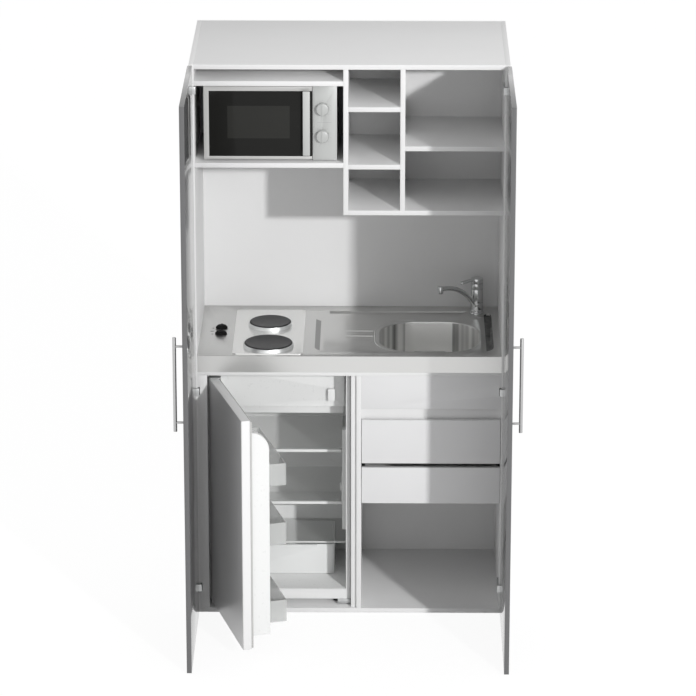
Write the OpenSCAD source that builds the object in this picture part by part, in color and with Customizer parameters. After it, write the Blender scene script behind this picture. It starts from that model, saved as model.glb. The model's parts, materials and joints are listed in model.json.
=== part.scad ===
// Cupboard kitchenette: tall cabinet with two doors, steel sink and hob top,
// microwave oven, under-counter refrigerator, two drawers and open shelves.
// X is across, Y goes back, Z is up. The origin is on the floor, under the
// middle of the cabinet. Both outer doors stand open at a right angle.

/* [Cabinet] */
// Overall width of the cabinet
cab_w = 1040; // [1020:5:1120]
// Depth of the cabinet without its doors
cab_d = 610; // [600:5:660]
// Overall height of the cabinet
cab_h = 1910; // [1890:5:1990]
// Thickness of every board
board_t = 16; // [14:1:18]
// Thickness of the back panel
back_t = 8; // [5:1:10]
// Height of the glides under the base panel
glide_h = 5; // [4:1:8]
// Radius of a cabinet glide
glide_r = 18; // [12:1:24]

/* [Upper compartments] */
// Clear width of the microwave compartment
oven_bay_w = 484; // [470:1:500]
// Clear width of the small middle compartments
cubby_w = 169; // [140:1:190]
// Depth below the cabinet's top of the shelf that carries the microwave
oven_shelf_down = 345; // [335:1:365]
// Depth below the cabinet's top of the shelf above the microwave
oven_top_shelf_down = 71; // [60:1:74]
// Depth below the cabinet's top of the bottom board of the middle and right compartments
upper_base_down = 505; // [490:5:560]
// Depth below the cabinet's top of the lower shelf in the middle compartments
cubby_low_down = 350; // [310:5:390]
// Depth below the cabinet's top of the upper shelf in the middle compartments
cubby_high_down = 157; // [130:1:210]
// Depth below the cabinet's top of the shelf in the right compartment
tall_shelf_down = 288; // [210:1:330]
// Clear depth of the upper compartments
upper_d = 378; // [376:1:420]
// Depth of the space for pipes behind the splashback
pipe_space = 47; // [30:1:50]

/* [Lower compartments] */
// Height of the rail under the steel top, at its lower edge
rail_z = 850; // [850:1:853]
// Thickness of that rail
rail_t = 12; // [10:1:14]
// Width of the strip at the left of the refrigerator
filler_left_w = 32; // [26:1:40]
// Width of the strip at the right of the refrigerator
filler_right_w = 18; // [12:1:30]
// How far the right strip stands back
filler_right_set = 10; // [4:1:16]
// Lower edge of the fixed panel in front of the bowl
fascia_z = 735; // [728:1:745]
// Lower edge of the stretcher behind that panel
stretcher_z = 684; // [681:1:690]
// Height of the stretcher
stretcher_h = 66; // [46:1:72]

/* [Drawers] */
// Lower edge of the upper drawer front
drawer_up_z = 542; // [540:1:552]
// Height of the upper drawer front
drawer_up_h = 153; // [140:1:156]
// Lower edge of the lower drawer front
drawer_low_z = 400; // [380:1:404]
// Height of the lower drawer front
drawer_low_h = 127; // [110:1:132]
// Free depth behind a drawer box, which the trap needs
drawer_back_gap = 136; // [116:2:236]
// Height of the upper drawer box
drawer_box_up_h = 115; // [90:1:125]
// Height of the lower drawer box
drawer_box_low_h = 90; // [80:1:110]
// Wall of a drawer box
drawer_wall = 12; // [9:1:15]
// Clear space for a runner beside a drawer box
runner_gap = 13; // [12:0.5:16]
// Height of a runner
runner_h = 26; // [20:1:34]

/* [Outer doors] */
// Width of an outer door
door_w = 517; // [505:1:517]
// Angle at which the outer doors stand open
door_open = 90; // [60:1:90]
// Clear height at the top and bottom of an outer door
door_reveal = 3; // [2:1:8]
// Gap between a closed outer door and the cabinet
door_gap = 3; // [2.5:0.5:5]
// Diameter of the handle bar
handle_d = 12; // [8:1:16]
// Length of the handle bar
handle_l = 316; // [200:2:400]
// Distance between the handle posts
handle_pitch = 256; // [128:8:288]
// Height of the middle of the handle
handle_z = 981; // [900:1:1100]
// Distance from the door face to the axis of the bar
handle_reach = 28; // [22:1:40]
// Distance from the free edge of the door to the handle
handle_edge = 45; // [30:1:70]

/* [Steel top] */
// Height of the worktop surface
top_z = 918; // [914:1:930]
// Thickness of the pressed steel
steel_t = 1.5; // [1:0.1:2]
// Depth of the pressed field around the bowl
field_drop = 6; // [4:0.5:9]
// Length of the bowl
bowl_w = 333; // [300:1:350]
// Width of the bowl, front to back
bowl_d = 323; // [280:1:330]
// Depth of the bowl below the pressed field
bowl_h = 150; // [120:1:155]
// Corner radius of the bowl in plan
bowl_r = 118; // [60:1:135]
// Distance from the right side panel to the middle of the bowl
bowl_side_gap = 237; // [224:1:254]
// Middle of the bowl, behind the front edge
bowl_y = 233; // [225:1:240]

/* [Hob] */
// Diameter of the front hotplate
plate_front_d = 160; // [140:1:180]
// Diameter of the rear hotplate
plate_rear_d = 140; // [120:1:150]
// Height of a hotplate surface above its panel
plate_rise = 13; // [12:1:22]
// Diameter of a hob knob
hob_knob_d = 40; // [30:1:44]
// Height of a hob knob
hob_knob_h = 10; // [9:1:16]

/* [Tap] */
// Diameter of the tap body
tap_d = 42; // [38:1:50]
// Height of the tap body above the worktop
tap_h = 88; // [76:1:100]
// Outward reach of the spout from the body axis
spout_reach = 172; // [165:1:200]
// Diameter of the spout tube
spout_d = 16; // [12:1:18]
// Length of the lever from the body axis
lever_l = 78; // [50:1:90]

/* [Microwave oven] */
// Width of the oven
oven_w = 433; // [425:1:445]
// Height of the oven without its feet
oven_h = 248; // [236:1:252]
// Depth of the oven behind its door
oven_d = 330; // [300:5:335]
// Width of the control panel
oven_panel_w = 79; // [72:1:88]
// Diameter of the turntable plate
turntable_d = 255; // [200:1:265]
// Diameter of an oven knob
oven_knob_d = 42; // [30:1:48]

/* [Refrigerator] */
// Width of the refrigerator case
fridge_w = 476; // [470:1:490]
// Free depth behind the refrigerator case
fridge_back_gap = 42; // [34:1:64]
// Height of the top of the case above the base panel
fridge_h = 839; // [835:1:840]
// Height of the feet of the case
fridge_foot_h = 18; // [16:1:22]
// Angle at which the refrigerator door stands open
fridge_open = 74.2; // [45:0.1:80]
// Thickness of the refrigerator door panel
fridge_door_t = 30; // [26:1:31]
// Height of the door panel
fridge_door_h = 795; // [780:1:796]
// Depth of the moulded inside of the door
liner_depth = 67; // [55:1:70]
// Depth of the transparent bins, from the door panel
bin_depth = 129; // [110:1:130]
// Height of a bin
bin_h = 76; // [60:1:85]
// Wall of the plastic mouldings
mould_t = 2.5; // [2:0.1:3]

/* [Hidden] */
$fn = 64;

// Clearances
slide_gap = 0.4;   // between sliding pieces
run_fit = 0.05;    // radial, between a pin and its bore
lap = 1;           // how far a cut runs past the face that it opens

// Cabinet planes, measured from the front edge of the boards
in_x = cab_w / 2 - board_t;
in_y = cab_d - back_t;
floor_z = glide_h + board_t;
roof_z = cab_h - board_t;
rail_top_z = rail_z + rail_t;
rail_front_d = 30;
divider_1_x = -in_x + oven_bay_w;
divider_2_x = divider_1_x + board_t + cubby_w;
oven_board_zs = [cab_h - oven_shelf_down, cab_h - oven_top_shelf_down];
upper_board_z = cab_h - upper_base_down;
cubby_board_zs = [cab_h - cubby_low_down, cab_h - cubby_high_down];
tall_board_z = cab_h - tall_shelf_down;
splash_y = in_y - pipe_space - back_t;

// Refrigerator planes
fridge_x0 = -in_x + filler_left_w;
fridge_x1 = fridge_x0 + fridge_w;
lower_divider_x = fridge_x1 + 1 + filler_right_w;
fridge_y0 = 38;
fridge_y1 = in_y - fridge_back_gap;
rail_rear_d = fridge_back_gap - 2;
fridge_z0 = floor_z + fridge_foot_h;
fridge_z1 = floor_z + fridge_h;
wall_l = 32;
wall_r = 16;
wall_rear = 28;
mouth_x0 = fridge_x0 + wall_l;
mouth_x1 = fridge_x1 - wall_r;
mouth_z0 = fridge_z0 + 37;
mouth_z1 = fridge_z1 - 22;
inner_y1 = fridge_y1 - wall_rear;
step_y = fridge_y1 - 155;
step_z = fridge_z0 + 201;
niche_wall = 30;
liner_t = 2;

// Drawer bay
bay_x0 = lower_divider_x + board_t;
bay_x1 = in_x;
front_gap = 1.5;
box_x0 = bay_x0 + runner_gap;
box_x1 = bay_x1 - runner_gap;
drawer_l = in_y - drawer_back_gap - board_t;
runner_t = 1.5;
runner_w = 10;

// Outer door hinge, in the closed position of the left door
pin_in = 5.5;
door_edge_x = -cab_w / 2 + 1;
hinge_x = door_edge_x + pin_in;
hinge_y = -door_gap - pin_in;
hinge_zs = [97, 795, cab_h - 84];
cup_len = 24;
cup_deep = 12;
cup_half = 14;
cup_wall = 1.5;
arm_half = 12;
arm_r = 4;
arm_pin_r = 1.5;
arm_far = 15.5;
arm_t = 6;
arm_plate_l = 62;
notch = 8;

// Refrigerator door hinge
fd_y0 = 2;
fd_x0 = fridge_x0 + 1.5;
fd_x1 = fridge_x1 - 10.5;
fd_z0 = fridge_z0 + 1;
fd_z1 = fd_z0 + fridge_door_h;
fd_y1 = fd_y0 + fridge_door_t;
fd_pin_x = fd_x0 + 20;
fd_pin_y = fd_y0 + fridge_door_t / 2;
fd_pin_r = 3;
fd_pin_l = 13;
fd_corner = fridge_door_t / 2 - 1;
seal_gap = 0.3;

// Pressed steel top
apron_z = rail_top_z;
bowl_mid_x = in_x - bowl_side_gap;
hob_x0 = -in_x + 114;
hob_x1 = -in_x + 350;
field_x0 = hob_x1 + 36.5;
field_x1 = in_x - 24;
field_y0 = 52;
field_y1 = 490;
field_r = 48;
field_z = top_z - field_drop;
tap_x = in_x - 73;
tap_y = 475;
tap_ledge_r = 34;
hob_y0 = 15;
hob_y1 = 492;
hob_rise = 4;
hob_z = top_z + hob_rise;
plate_x = -in_x + 233;
plate_front_y = 101;
plate_rear_y = 326;
knob_x = -in_x + 69;
knob_rear_y = 300;
knob_front_y = 236;
hob_shaft_r = 3;
shaft_room = 0.5;
drain_r = 30;

// Tap
aim = [-126, -117];
aim_deg = atan2(aim[1], aim[0]);
tap_r = tap_d / 2;
tap_neck_r = tap_r - 6;
tap_shank_r = 16;
spout_ring_z = top_z + 16;
spout_ring_h = 24;
tap_top_z = top_z + tap_h;
stem_r = 8;
head_h = 20;
lever_pin_r = 2;
lug_half = 5;

// Microwave oven
oven_x0 = divider_1_x - 21 - oven_w;
oven_x1 = oven_x0 + oven_w;
oven_z0 = oven_board_zs[0] + board_t + 5;
oven_z1 = oven_z0 + oven_h;
oven_door_x1 = oven_x1 - oven_panel_w - 1.5;
oven_door_y0 = 22;
oven_door_y1 = 38;
oven_case_y0 = 40;
oven_case_y1 = oven_case_y0 + oven_d;
oven_sheet = 1.5;
oven_lip = 2;
oven_pin_x = oven_x0 + 6;
oven_pin_y = 26;
oven_pin_r = 2;
glass_t = 4;
cav_x0 = oven_x0 + 28;
cav_x1 = oven_door_x1 - 14;
cav_z0 = oven_z0 + 20;
cav_z1 = oven_z1 - 26;
cav_y1 = oven_case_y1 - 30;
cav_t = 2;
table_x = (cav_x0 + cav_x1) / 2;
table_y = (oven_case_y0 + cav_y1) / 2;
table_r = turntable_d / 2;
table_z = cav_z0 + 10;
table_shaft_r = 6;
oven_knob_x = oven_x1 - 47;
oven_knob_zs = [oven_z0 + 172, oven_z0 + 81];
oven_shaft_r = 3;

// Inside of the refrigerator
shelf_x0 = mouth_x0 + 10;
shelf_x1 = mouth_x1 - 15;
shelf_front_y = 170;
shelf_trim_h = 9;
shelf_zs = [332, 520];
shelf_glass_t = 4;
ledge_h = 6;
ledge_w = 12;
rib_x = mouth_x1 - 14;
rib_y0 = 130;
rib_y1 = 168;
rib_z0 = 256;
rib_z1 = 614;
dial_r = 14;
dial_y = 149;
dial_z = 404;
ice_z0 = 697;
ice_t = 3;
ice_y0 = 136;
flap_y0 = 124;
flap_y1 = 132;
flap_pin_x = mouth_x0 + 14;
flap_pin_y = 128;
flap_pin_r = 2;
crisper_z0 = mouth_z0 + 2;
crisper_z1 = mouth_z0 + 109;
crisper_y0 = 172;
crisper_y1 = step_y - 6;
crisper_x0 = mouth_x0 + 16;
crisper_x1 = mouth_x1 - 40;
crisper_r = 14;
crisper_lip_in = 60;
crisper_lip_d = 9;
crisper_lip_t = 4;
cover_z = crisper_z1 + 3;
cover_t = 4;
bin_zs = [109, 381, 587];
dyke_w = 25;
liner_x0 = fd_pin_x + 14.5;
liner_x1 = mouth_x1 - 12;
liner_z0 = mouth_z0 + 4;
liner_top_z = 786;

// ---------------------------------------------------------------- helpers

// Places children so that Y is measured from the front edge of the boards
module from_front() {
    translate([0, -cab_d / 2, 0]) children();
}

// Box from its lowest corner to its highest corner
module slab(x0, x1, y0, y1, z0, z1) {
    translate([x0, y0, z0]) cube([x1 - x0, y1 - y0, z1 - z0]);
}

// Flat outline with round corners
module round_outline(x0, x1, y0, y1, r) {
    translate([x0 + r, y0]) square([x1 - x0 - 2 * r, y1 - y0]);
    translate([x0, y0 + r]) square([x1 - x0, y1 - y0 - 2 * r]);
    for (x = [x0 + r, x1 - r], y = [y0 + r, y1 - r]) translate([x, y]) circle(r);
}

// Box with round vertical edges
module round_slab(x0, x1, y0, y1, z0, z1, r) {
    translate([0, 0, z0]) linear_extrude(z1 - z0) round_outline(x0, x1, y0, y1, r);
}

// Box with round corners as seen from the front
module round_front(x0, x1, y0, y1, z0, z1, r) {
    translate([0, y1, 0]) rotate([90, 0, 0]) linear_extrude(y1 - y0)
        round_outline(x0, x1, z0, z1, r);
}

module post(x, y, z0, z1, r) {
    translate([x, y, z0]) cylinder(h = z1 - z0, r = r);
}

// Round bar that runs from front to back
module bar_y(x, z, y0, y1, r) {
    translate([x, y1, z]) rotate([90, 0, 0]) cylinder(h = y1 - y0, r = r);
}

// Round bar that runs across
module bar_x(y, z, x0, x1, r) {
    translate([x0, y, z]) rotate([0, 90, 0]) cylinder(h = x1 - x0, r = r);
}

// Turns children from the closed to the open position of the left outer door
module outer_open() {
    translate([hinge_x, hinge_y, 0]) rotate(-door_open) translate([-hinge_x, -hinge_y, 0])
        children();
}

// Turns children from the closed to the open position of the refrigerator door
module fridge_opened() {
    translate([fd_pin_x, fd_pin_y, 0]) rotate(-fridge_open) translate([-fd_pin_x, -fd_pin_y, 0])
        children();
}

// Turns children so that +X points along the spout, with the tap axis at the origin
module at_tap() {
    translate([tap_x, tap_y, 0]) rotate(aim_deg) children();
}

// ---------------------------------------------------------------- cabinet

module side_panel() {
    slab(in_x, cab_w / 2, 0, cab_d, glide_h, cab_h);
}

module side_panel_left() {
    color("whitesmoke") from_front() mirror([1, 0, 0]) side_panel();
}

module side_panel_right() {
    color("whitesmoke") from_front() side_panel();
}

module top_panel() {
    color("whitesmoke") from_front() slab(-in_x, in_x, 0, in_y, roof_z, cab_h);
}

module base_panel() {
    color("whitesmoke") from_front() slab(-in_x, in_x, 0, in_y, glide_h, floor_z);
}

// Service opening behind the trap, and two holes for the wall screws
service_x0 = bowl_mid_x - 80;
service_x1 = bowl_mid_x + 80;
service_z0 = 460;
service_z1 = 620;
wall_hole_x = in_x - 84;
wall_hole_z = roof_z - 20;
wall_hole_r = 4;
access_hole_r = 9;

module back_panel() {
    color("whitesmoke") from_front() difference() {
        slab(-in_x, in_x, in_y, cab_d, glide_h, cab_h);
        slab(service_x0, service_x1, in_y - lap, cab_d + lap, service_z0, service_z1);
        for (s = [-1, 1]) bar_y(s * wall_hole_x, wall_hole_z, in_y - lap, cab_d + lap, wall_hole_r);
    }
}

// Backs of the three upper compartments, with access holes in front of the wall screws, the
// splashback, and the back of the open lower bay
module inner_back_panels() {
    color("whitesmoke") from_front() {
        difference() {
            union() {
                slab(-in_x, divider_1_x, upper_d, upper_d + back_t, oven_board_zs[0] + board_t,
                    roof_z);
                slab(divider_2_x + board_t, in_x, upper_d, upper_d + back_t,
                    upper_board_z + board_t, roof_z);
            }
            for (s = [-1, 1])
                bar_y(s * wall_hole_x, wall_hole_z, upper_d - lap, upper_d + back_t + lap,
                    access_hole_r);
        }
        slab(divider_1_x + board_t, divider_2_x, upper_d, upper_d + back_t,
            upper_board_z + board_t, roof_z);
        slab(-in_x, in_x, splash_y, splash_y + back_t, top_z, oven_board_zs[0] + board_t);
        slab(bay_x0, bay_x1, splash_y, splash_y + back_t, floor_z, service_z0);
    }
}

module board(x0, x1, z, d) {
    slab(x0, x1, 0, d, z, z + board_t);
}

// Two boards run back to the splashback, the others to the backs of their compartments
module shelves() {
    color("whitesmoke") from_front() {
        board(-in_x, divider_1_x, oven_board_zs[0], splash_y);
        board(-in_x, divider_1_x, oven_board_zs[1], upper_d);
        for (z = cubby_board_zs) board(divider_1_x + board_t, divider_2_x, z, upper_d);
        board(divider_2_x + board_t, in_x, tall_board_z, upper_d);
        board(divider_1_x + board_t, in_x, upper_board_z, splash_y);
    }
}

module upper_dividers() {
    color("whitesmoke") from_front() {
        slab(divider_1_x, divider_1_x + board_t, 0, splash_y, upper_board_z, roof_z);
        slab(divider_2_x, divider_2_x + board_t, 0, splash_y, upper_board_z + board_t, roof_z);
    }
}

module lower_divider() {
    color("whitesmoke") from_front()
        slab(lower_divider_x, lower_divider_x + board_t, 0, in_y, floor_z, rail_z);
}

module cross_rails() {
    color("whitesmoke") from_front() {
        slab(-in_x, in_x, 0, rail_front_d, rail_z, rail_top_z);
        slab(-in_x, in_x, in_y - rail_rear_d, in_y, rail_z, rail_top_z);
        slab(bay_x0, bay_x1, 20, 20 + board_t, stretcher_z, stretcher_z + stretcher_h);
    }
}

// Room that a hinge arm needs in a strip at the side of the cabinet
module arm_room(z) {
    slab(-in_x - lap, -in_x + notch, -lap, board_t + lap, z - cup_half, z + cup_half);
}

module sink_fascia() {
    color("gainsboro") from_front() difference() {
        slab(bay_x0, bay_x1, 0, board_t, fascia_z, rail_z);
        mirror([1, 0, 0]) arm_room(hinge_zs[1]);
    }
}

module filler_strips() {
    color("whitesmoke") from_front() {
        difference() {
            slab(-in_x, fridge_x0, 0, board_t, floor_z, rail_z);
            for (i = [0, 1]) arm_room(hinge_zs[i]);
        }
        slab(fridge_x1 + 1, lower_divider_x, filler_right_set, filler_right_set + board_t,
            floor_z, rail_z);
    }
}

// Cabinet glides, with one under the middle, and the feet of the refrigerator
module levelling_feet() {
    color("dimgray") from_front() {
        for (x = [-in_x + 40, in_x - 40], y = [45, in_y - 45]) post(x, y, 0, glide_h, glide_r);
        post(0, cab_d / 2, 0, glide_h, glide_r);
        for (x = [fridge_x0 + 45, fridge_x1 - 45], y = [fridge_y0 + 40, fridge_y1 - 30])
            post(x, y, floor_z, fridge_z0, 15);
    }
}

// ---------------------------------------------------------------- outer doors

module hinge_cup_room(z) {
    slab(door_edge_x - lap, door_edge_x + cup_len, -door_gap - cup_deep, -door_gap + lap,
        z - cup_half, z + cup_half);
}

module outer_door() {
    difference() {
        slab(door_edge_x, door_edge_x + door_w, -door_gap - board_t, -door_gap,
            door_reveal, cab_h - door_reveal);
        for (z = hinge_zs) hinge_cup_room(z);
    }
}

module outer_door_left() {
    color("gray") from_front() outer_open() outer_door();
}

module outer_door_right() {
    color("gray") from_front() mirror([1, 0, 0]) outer_open() outer_door();
}

// Bar handle on two posts, on the outer face of the closed left door
module door_handle() {
    face_y = -door_gap - board_t;
    bar_pos_y = face_y - handle_reach;
    bar_pos_x = door_edge_x + door_w - handle_edge;
    post(bar_pos_x, bar_pos_y, handle_z - handle_l / 2, handle_z + handle_l / 2, handle_d / 2);
    for (s = [-1, 1]) bar_y(bar_pos_x, handle_z + s * handle_pitch / 2, bar_pos_y, face_y,
        handle_d / 3);
}

module door_handle_left() {
    color("silver") from_front() outer_open() door_handle();
}

module door_handle_right() {
    color("silver") from_front() mirror([1, 0, 0]) outer_open() door_handle();
}

// Steel cup let into the door, with the hinge pin across it
module hinge_cup(z) {
    difference() {
        slab(door_edge_x, door_edge_x + cup_len, -door_gap - cup_deep, -door_gap,
            z - cup_half, z + cup_half);
        slab(door_edge_x - lap, door_edge_x + cup_len - cup_wall, -door_gap - cup_deep + cup_wall,
            -door_gap + lap, z - cup_half + cup_wall, z + cup_half - cup_wall);
    }
    post(hinge_x, hinge_y, z - cup_half + cup_wall / 2, z + cup_half - cup_wall / 2, arm_pin_r);
}

module hinge_cups() {
    for (z = hinge_zs) hinge_cup(z);
}

module hinge_cups_left() {
    color("silver") from_front() outer_open() hinge_cups();
}

module hinge_cups_right() {
    color("silver") from_front() mirror([1, 0, 0]) outer_open() hinge_cups();
}

// Cranked arm from the side panel to the hinge pin
module hinge_arm(z) {
    z0 = z - arm_half;
    z1 = z + arm_half;
    plate_x0 = -in_x;
    difference() {
        union() {
            post(hinge_x, hinge_y, z0, z1, arm_r);
            slab(hinge_x, hinge_x + arm_far, hinge_y - arm_r, hinge_y + arm_r, z0, z1);
            slab(plate_x0, hinge_x + arm_far, hinge_y - arm_r, arm_plate_l, z0, z1);
        }
        post(hinge_x, hinge_y, z0 - lap, z1 + lap, arm_pin_r + run_fit);
    }
}

module hinge_arms() {
    color("silver") from_front() for (side = [0, 1]) mirror([side, 0, 0])
        for (z = hinge_zs) hinge_arm(z);
}

// ---------------------------------------------------------------- steel top

module field_outline(grow) {
    difference() {
        round_outline(field_x0 - grow, field_x1 + grow, field_y0 - grow, field_y1 + grow,
            field_r + grow);
        translate([tap_x, tap_y]) circle(tap_ledge_r - grow);
        translate([tap_x - tap_ledge_r + grow, tap_y])
            square([2 * (tap_ledge_r - grow), field_y1 - tap_y + lap + grow]);
    }
}

module bowl_outline(grow) {
    round_outline(bowl_mid_x - bowl_w / 2 - grow, bowl_mid_x + bowl_w / 2 + grow,
        bowl_y - bowl_d / 2 - grow, bowl_y + bowl_d / 2 + grow, bowl_r + grow);
}

bowl_z = field_z - bowl_h;

module sink_top() {
    color("lightgray") from_front() difference() {
        union() {
            slab(-in_x, in_x, 0, in_y, apron_z, top_z);
            translate([0, 0, bowl_z - steel_t]) linear_extrude(bowl_h) bowl_outline(steel_t);
            round_slab(hob_x0, hob_x1, hob_y0, hob_y1, top_z - lap, hob_z, 14);
        }
        // Underside of the pressed sheet, around the field and the bowl
        difference() {
            slab(-in_x + steel_t, in_x - steel_t, steel_t, in_y - steel_t, apron_z - lap,
                top_z - steel_t);
            translate([0, 0, field_z - steel_t]) linear_extrude(field_drop + lap)
                field_outline(steel_t);
            translate([0, 0, bowl_z - steel_t]) linear_extrude(bowl_h + lap)
                bowl_outline(steel_t);
        }
        translate([0, 0, field_z]) linear_extrude(field_drop + lap) field_outline(0);
        translate([0, 0, bowl_z]) linear_extrude(bowl_h + lap) bowl_outline(0);
        round_slab(hob_x0 + steel_t, hob_x1 - steel_t, hob_y0 + steel_t, hob_y1 - steel_t,
            top_z - steel_t - lap, hob_z - steel_t, 12);
        post(bowl_mid_x, bowl_y, bowl_z - steel_t - lap, bowl_z + lap, drain_r);
        post(tap_x, tap_y, top_z - steel_t - lap, top_z + lap, tap_shank_r + shaft_room);
        post(plate_x, plate_front_y, top_z, hob_z + lap, plate_front_d / 2 - 8);
        post(plate_x, plate_rear_y, top_z, hob_z + lap, plate_rear_d / 2 - 8);
        for (y = [knob_rear_y, knob_front_y])
            post(knob_x, y, top_z - steel_t - lap, top_z + lap, hob_shaft_r + shaft_room);
    }
}

strainer_h = 20;

module sink_strainer() {
    color("silver") from_front() difference() {
        union() {
            post(bowl_mid_x, bowl_y, bowl_z, bowl_z + 2, drain_r + 8);
            post(bowl_mid_x, bowl_y, bowl_z - strainer_h, bowl_z + 1, drain_r - shaft_room);
        }
        post(bowl_mid_x, bowl_y, bowl_z - strainer_h + 2, bowl_z + 3, drain_r - 3);
        for (a = [0:45:315]) rotate_about(bowl_mid_x, bowl_y, a)
            post(bowl_mid_x + drain_r / 2, bowl_y, bowl_z - strainer_h - lap,
                bowl_z - strainer_h + 2 + lap, 3);
    }
}

module rotate_about(x, y, a) {
    translate([x, y, 0]) rotate(a) translate([-x, -y, 0]) children();
}

// Waste pipe back from the bowl, down to a bottle trap, and out behind
pipe_r = 20;
pipe_wall = 2.5;
pipe_z = bowl_z - strainer_h - 34;
trap_y = in_y - 72;
trap_r = 36;
trap_top_z = 590;
trap_h = 110;
outlet_z = 560;
outlet_y = in_y;
outlet_l = 30;
outlet_nut_r = 27;

module pipe_bends(r) {
    post(bowl_mid_x, bowl_y, pipe_z, bowl_z - strainer_h, r);
    translate([bowl_mid_x, bowl_y, pipe_z]) sphere(r);
    bar_y(bowl_mid_x, pipe_z, bowl_y, trap_y, r);
    translate([bowl_mid_x, trap_y, pipe_z]) sphere(r);
    post(bowl_mid_x, trap_y, trap_top_z - 1, pipe_z, r);
}

module sink_trap() {
    color("gainsboro") from_front() difference() {
        union() {
            pipe_bends(pipe_r);
            post(bowl_mid_x, trap_y, trap_top_z - trap_h, trap_top_z, trap_r);
            bar_y(bowl_mid_x, outlet_z, trap_y, outlet_y - outlet_l, outlet_nut_r);
            bar_y(bowl_mid_x, outlet_z, trap_y, outlet_y, pipe_r);
        }
        pipe_bends(pipe_r - pipe_wall);
        post(bowl_mid_x, bowl_y, pipe_z, bowl_z - strainer_h + lap, pipe_r - pipe_wall);
        post(bowl_mid_x, trap_y, trap_top_z - trap_h + pipe_wall, trap_top_z - pipe_wall,
            trap_r - pipe_wall);
        bar_y(bowl_mid_x, outlet_z, trap_y, outlet_y + lap, pipe_r - pipe_wall);
    }
}

// ---------------------------------------------------------------- hob

plate_z0 = hob_z + 3;
plate_z1 = hob_z + plate_rise;
tray_z0 = apron_z + 6;
tray_x0 = knob_x - 26;
tray_x1 = hob_x1 + 6;
tray_y1 = hob_y1 - 4;
tray_y0 = hob_y0 + 6;
tray_z1 = top_z - steel_t;
tray_t = 1.2;
stud_r = 4;
stud_out = 6;
switch_z1 = top_z - 6;

// Cast hotplate with a worked edge, hollow below, and its fixing stud
module hotplate(y, r) {
    translate([plate_x, y, 0]) {
        rotate_extrude() polygon([[0, plate_z0 + 4], [r - 6, plate_z0 + 4], [r - 6, plate_z0],
            [r - 2, plate_z0], [r, plate_z0 + 2], [r, plate_z1 - 2], [r - 2, plate_z1],
            [r - 8, plate_z1], [r - 10, plate_z1 - 1], [0, plate_z1 - 1]]);
        translate([0, 0, tray_z0 - stud_out])
            cylinder(h = plate_z0 + 4 - tray_z0 + stud_out, r = stud_r);
    }
}

module hotplates() {
    color("dimgray") from_front() {
        hotplate(plate_front_y, plate_front_d / 2);
        hotplate(plate_rear_y, plate_rear_d / 2);
    }
}

// Bright ring between a hotplate and the panel
module hotplate_ring(y, r) {
    ring_z1 = plate_z1 - 2.5;
    translate([plate_x, y, 0]) rotate_extrude() polygon([[r - 8, hob_z], [r + 5, hob_z],
        [r + 4.5, hob_z + 1.5], [r + 2.5, ring_z1], [r + slide_gap, ring_z1],
        [r + slide_gap, hob_z + 2], [r - 8, hob_z + 2]]);
}

module hotplate_rings() {
    color("silver") from_front() {
        hotplate_ring(plate_front_y, plate_front_d / 2);
        hotplate_ring(plate_rear_y, plate_rear_d / 2);
    }
}

// Tray under the plates, with the two switch bodies
module hob_tray() {
    color("silver") from_front() {
        difference() {
            slab(tray_x0, tray_x1, tray_y0, tray_y1, tray_z0, tray_z1);
            slab(tray_x0 + tray_t, tray_x1 - tray_t, tray_y0 + tray_t, tray_y1 - tray_t,
                tray_z0 + tray_t, tray_z1 + lap);
            for (y = [plate_front_y, plate_rear_y])
                post(plate_x, y, tray_z0 - lap, tray_z0 + tray_t + lap, stud_r + shaft_room);
        }
        for (y = [knob_rear_y, knob_front_y]) difference() {
            slab(knob_x - 22, knob_x + 22, y - 20, y + 20, tray_z0 + tray_t, switch_z1);
            post(knob_x, y, switch_z1 - 18, switch_z1 + lap, hob_shaft_r + run_fit);
        }
    }
}

// Domed knob with a grip bar and its shaft
module hob_knob(y) {
    r = hob_knob_d / 2;
    foot_z = top_z + 0.5;
    translate([knob_x, y, 0]) {
        translate([0, 0, foot_z]) rotate_extrude() polygon([[0, 0], [r, 0], [r, 2.5],
            [r - 1.5, 5], [r - 5, hob_knob_h - 1.5], [r - 9, hob_knob_h], [0, hob_knob_h]]);
        translate([-3, -r + 1, foot_z + 3]) cube([6, 2 * r - 2, hob_knob_h - 4]);
        translate([0, 0, switch_z1 - 15]) cylinder(h = foot_z - switch_z1 + 16, r = hob_shaft_r);
    }
}

module hob_knob_rear() {
    color("black") from_front() hob_knob(knob_rear_y);
}

module hob_knob_front() {
    color("black") from_front() hob_knob(knob_front_y);
}

// ---------------------------------------------------------------- tap

module tap_body() {
    color("silver") from_front() at_tap() difference() {
        rotate_extrude() polygon([[0, apron_z + 10], [tap_shank_r, apron_z + 10],
            [tap_shank_r, apron_z + 30], [tap_shank_r + 8, apron_z + 30],
            [tap_shank_r + 8, apron_z + 42], [tap_shank_r, apron_z + 42], [tap_shank_r, top_z],
            [tap_r + 4, top_z], [tap_r + 4, top_z + 3], [tap_r, top_z + 7],
            [tap_r, spout_ring_z - slide_gap], [tap_neck_r, spout_ring_z - slide_gap],
            [tap_neck_r, spout_ring_z + spout_ring_h + slide_gap],
            [tap_r, spout_ring_z + spout_ring_h + slide_gap], [tap_r, tap_top_z], [0, tap_top_z]]);
        post(0, 0, tap_top_z - 16, tap_top_z + lap, stem_r + run_fit);
    }
}

spout_root = tap_r - 9;
spout_rise_deg = 60;
bend_r = (spout_reach - spout_root) / sin(spout_rise_deg);
spout_top_z = spout_ring_z + spout_ring_h / 2 + bend_r * (1 - cos(spout_rise_deg));

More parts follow.
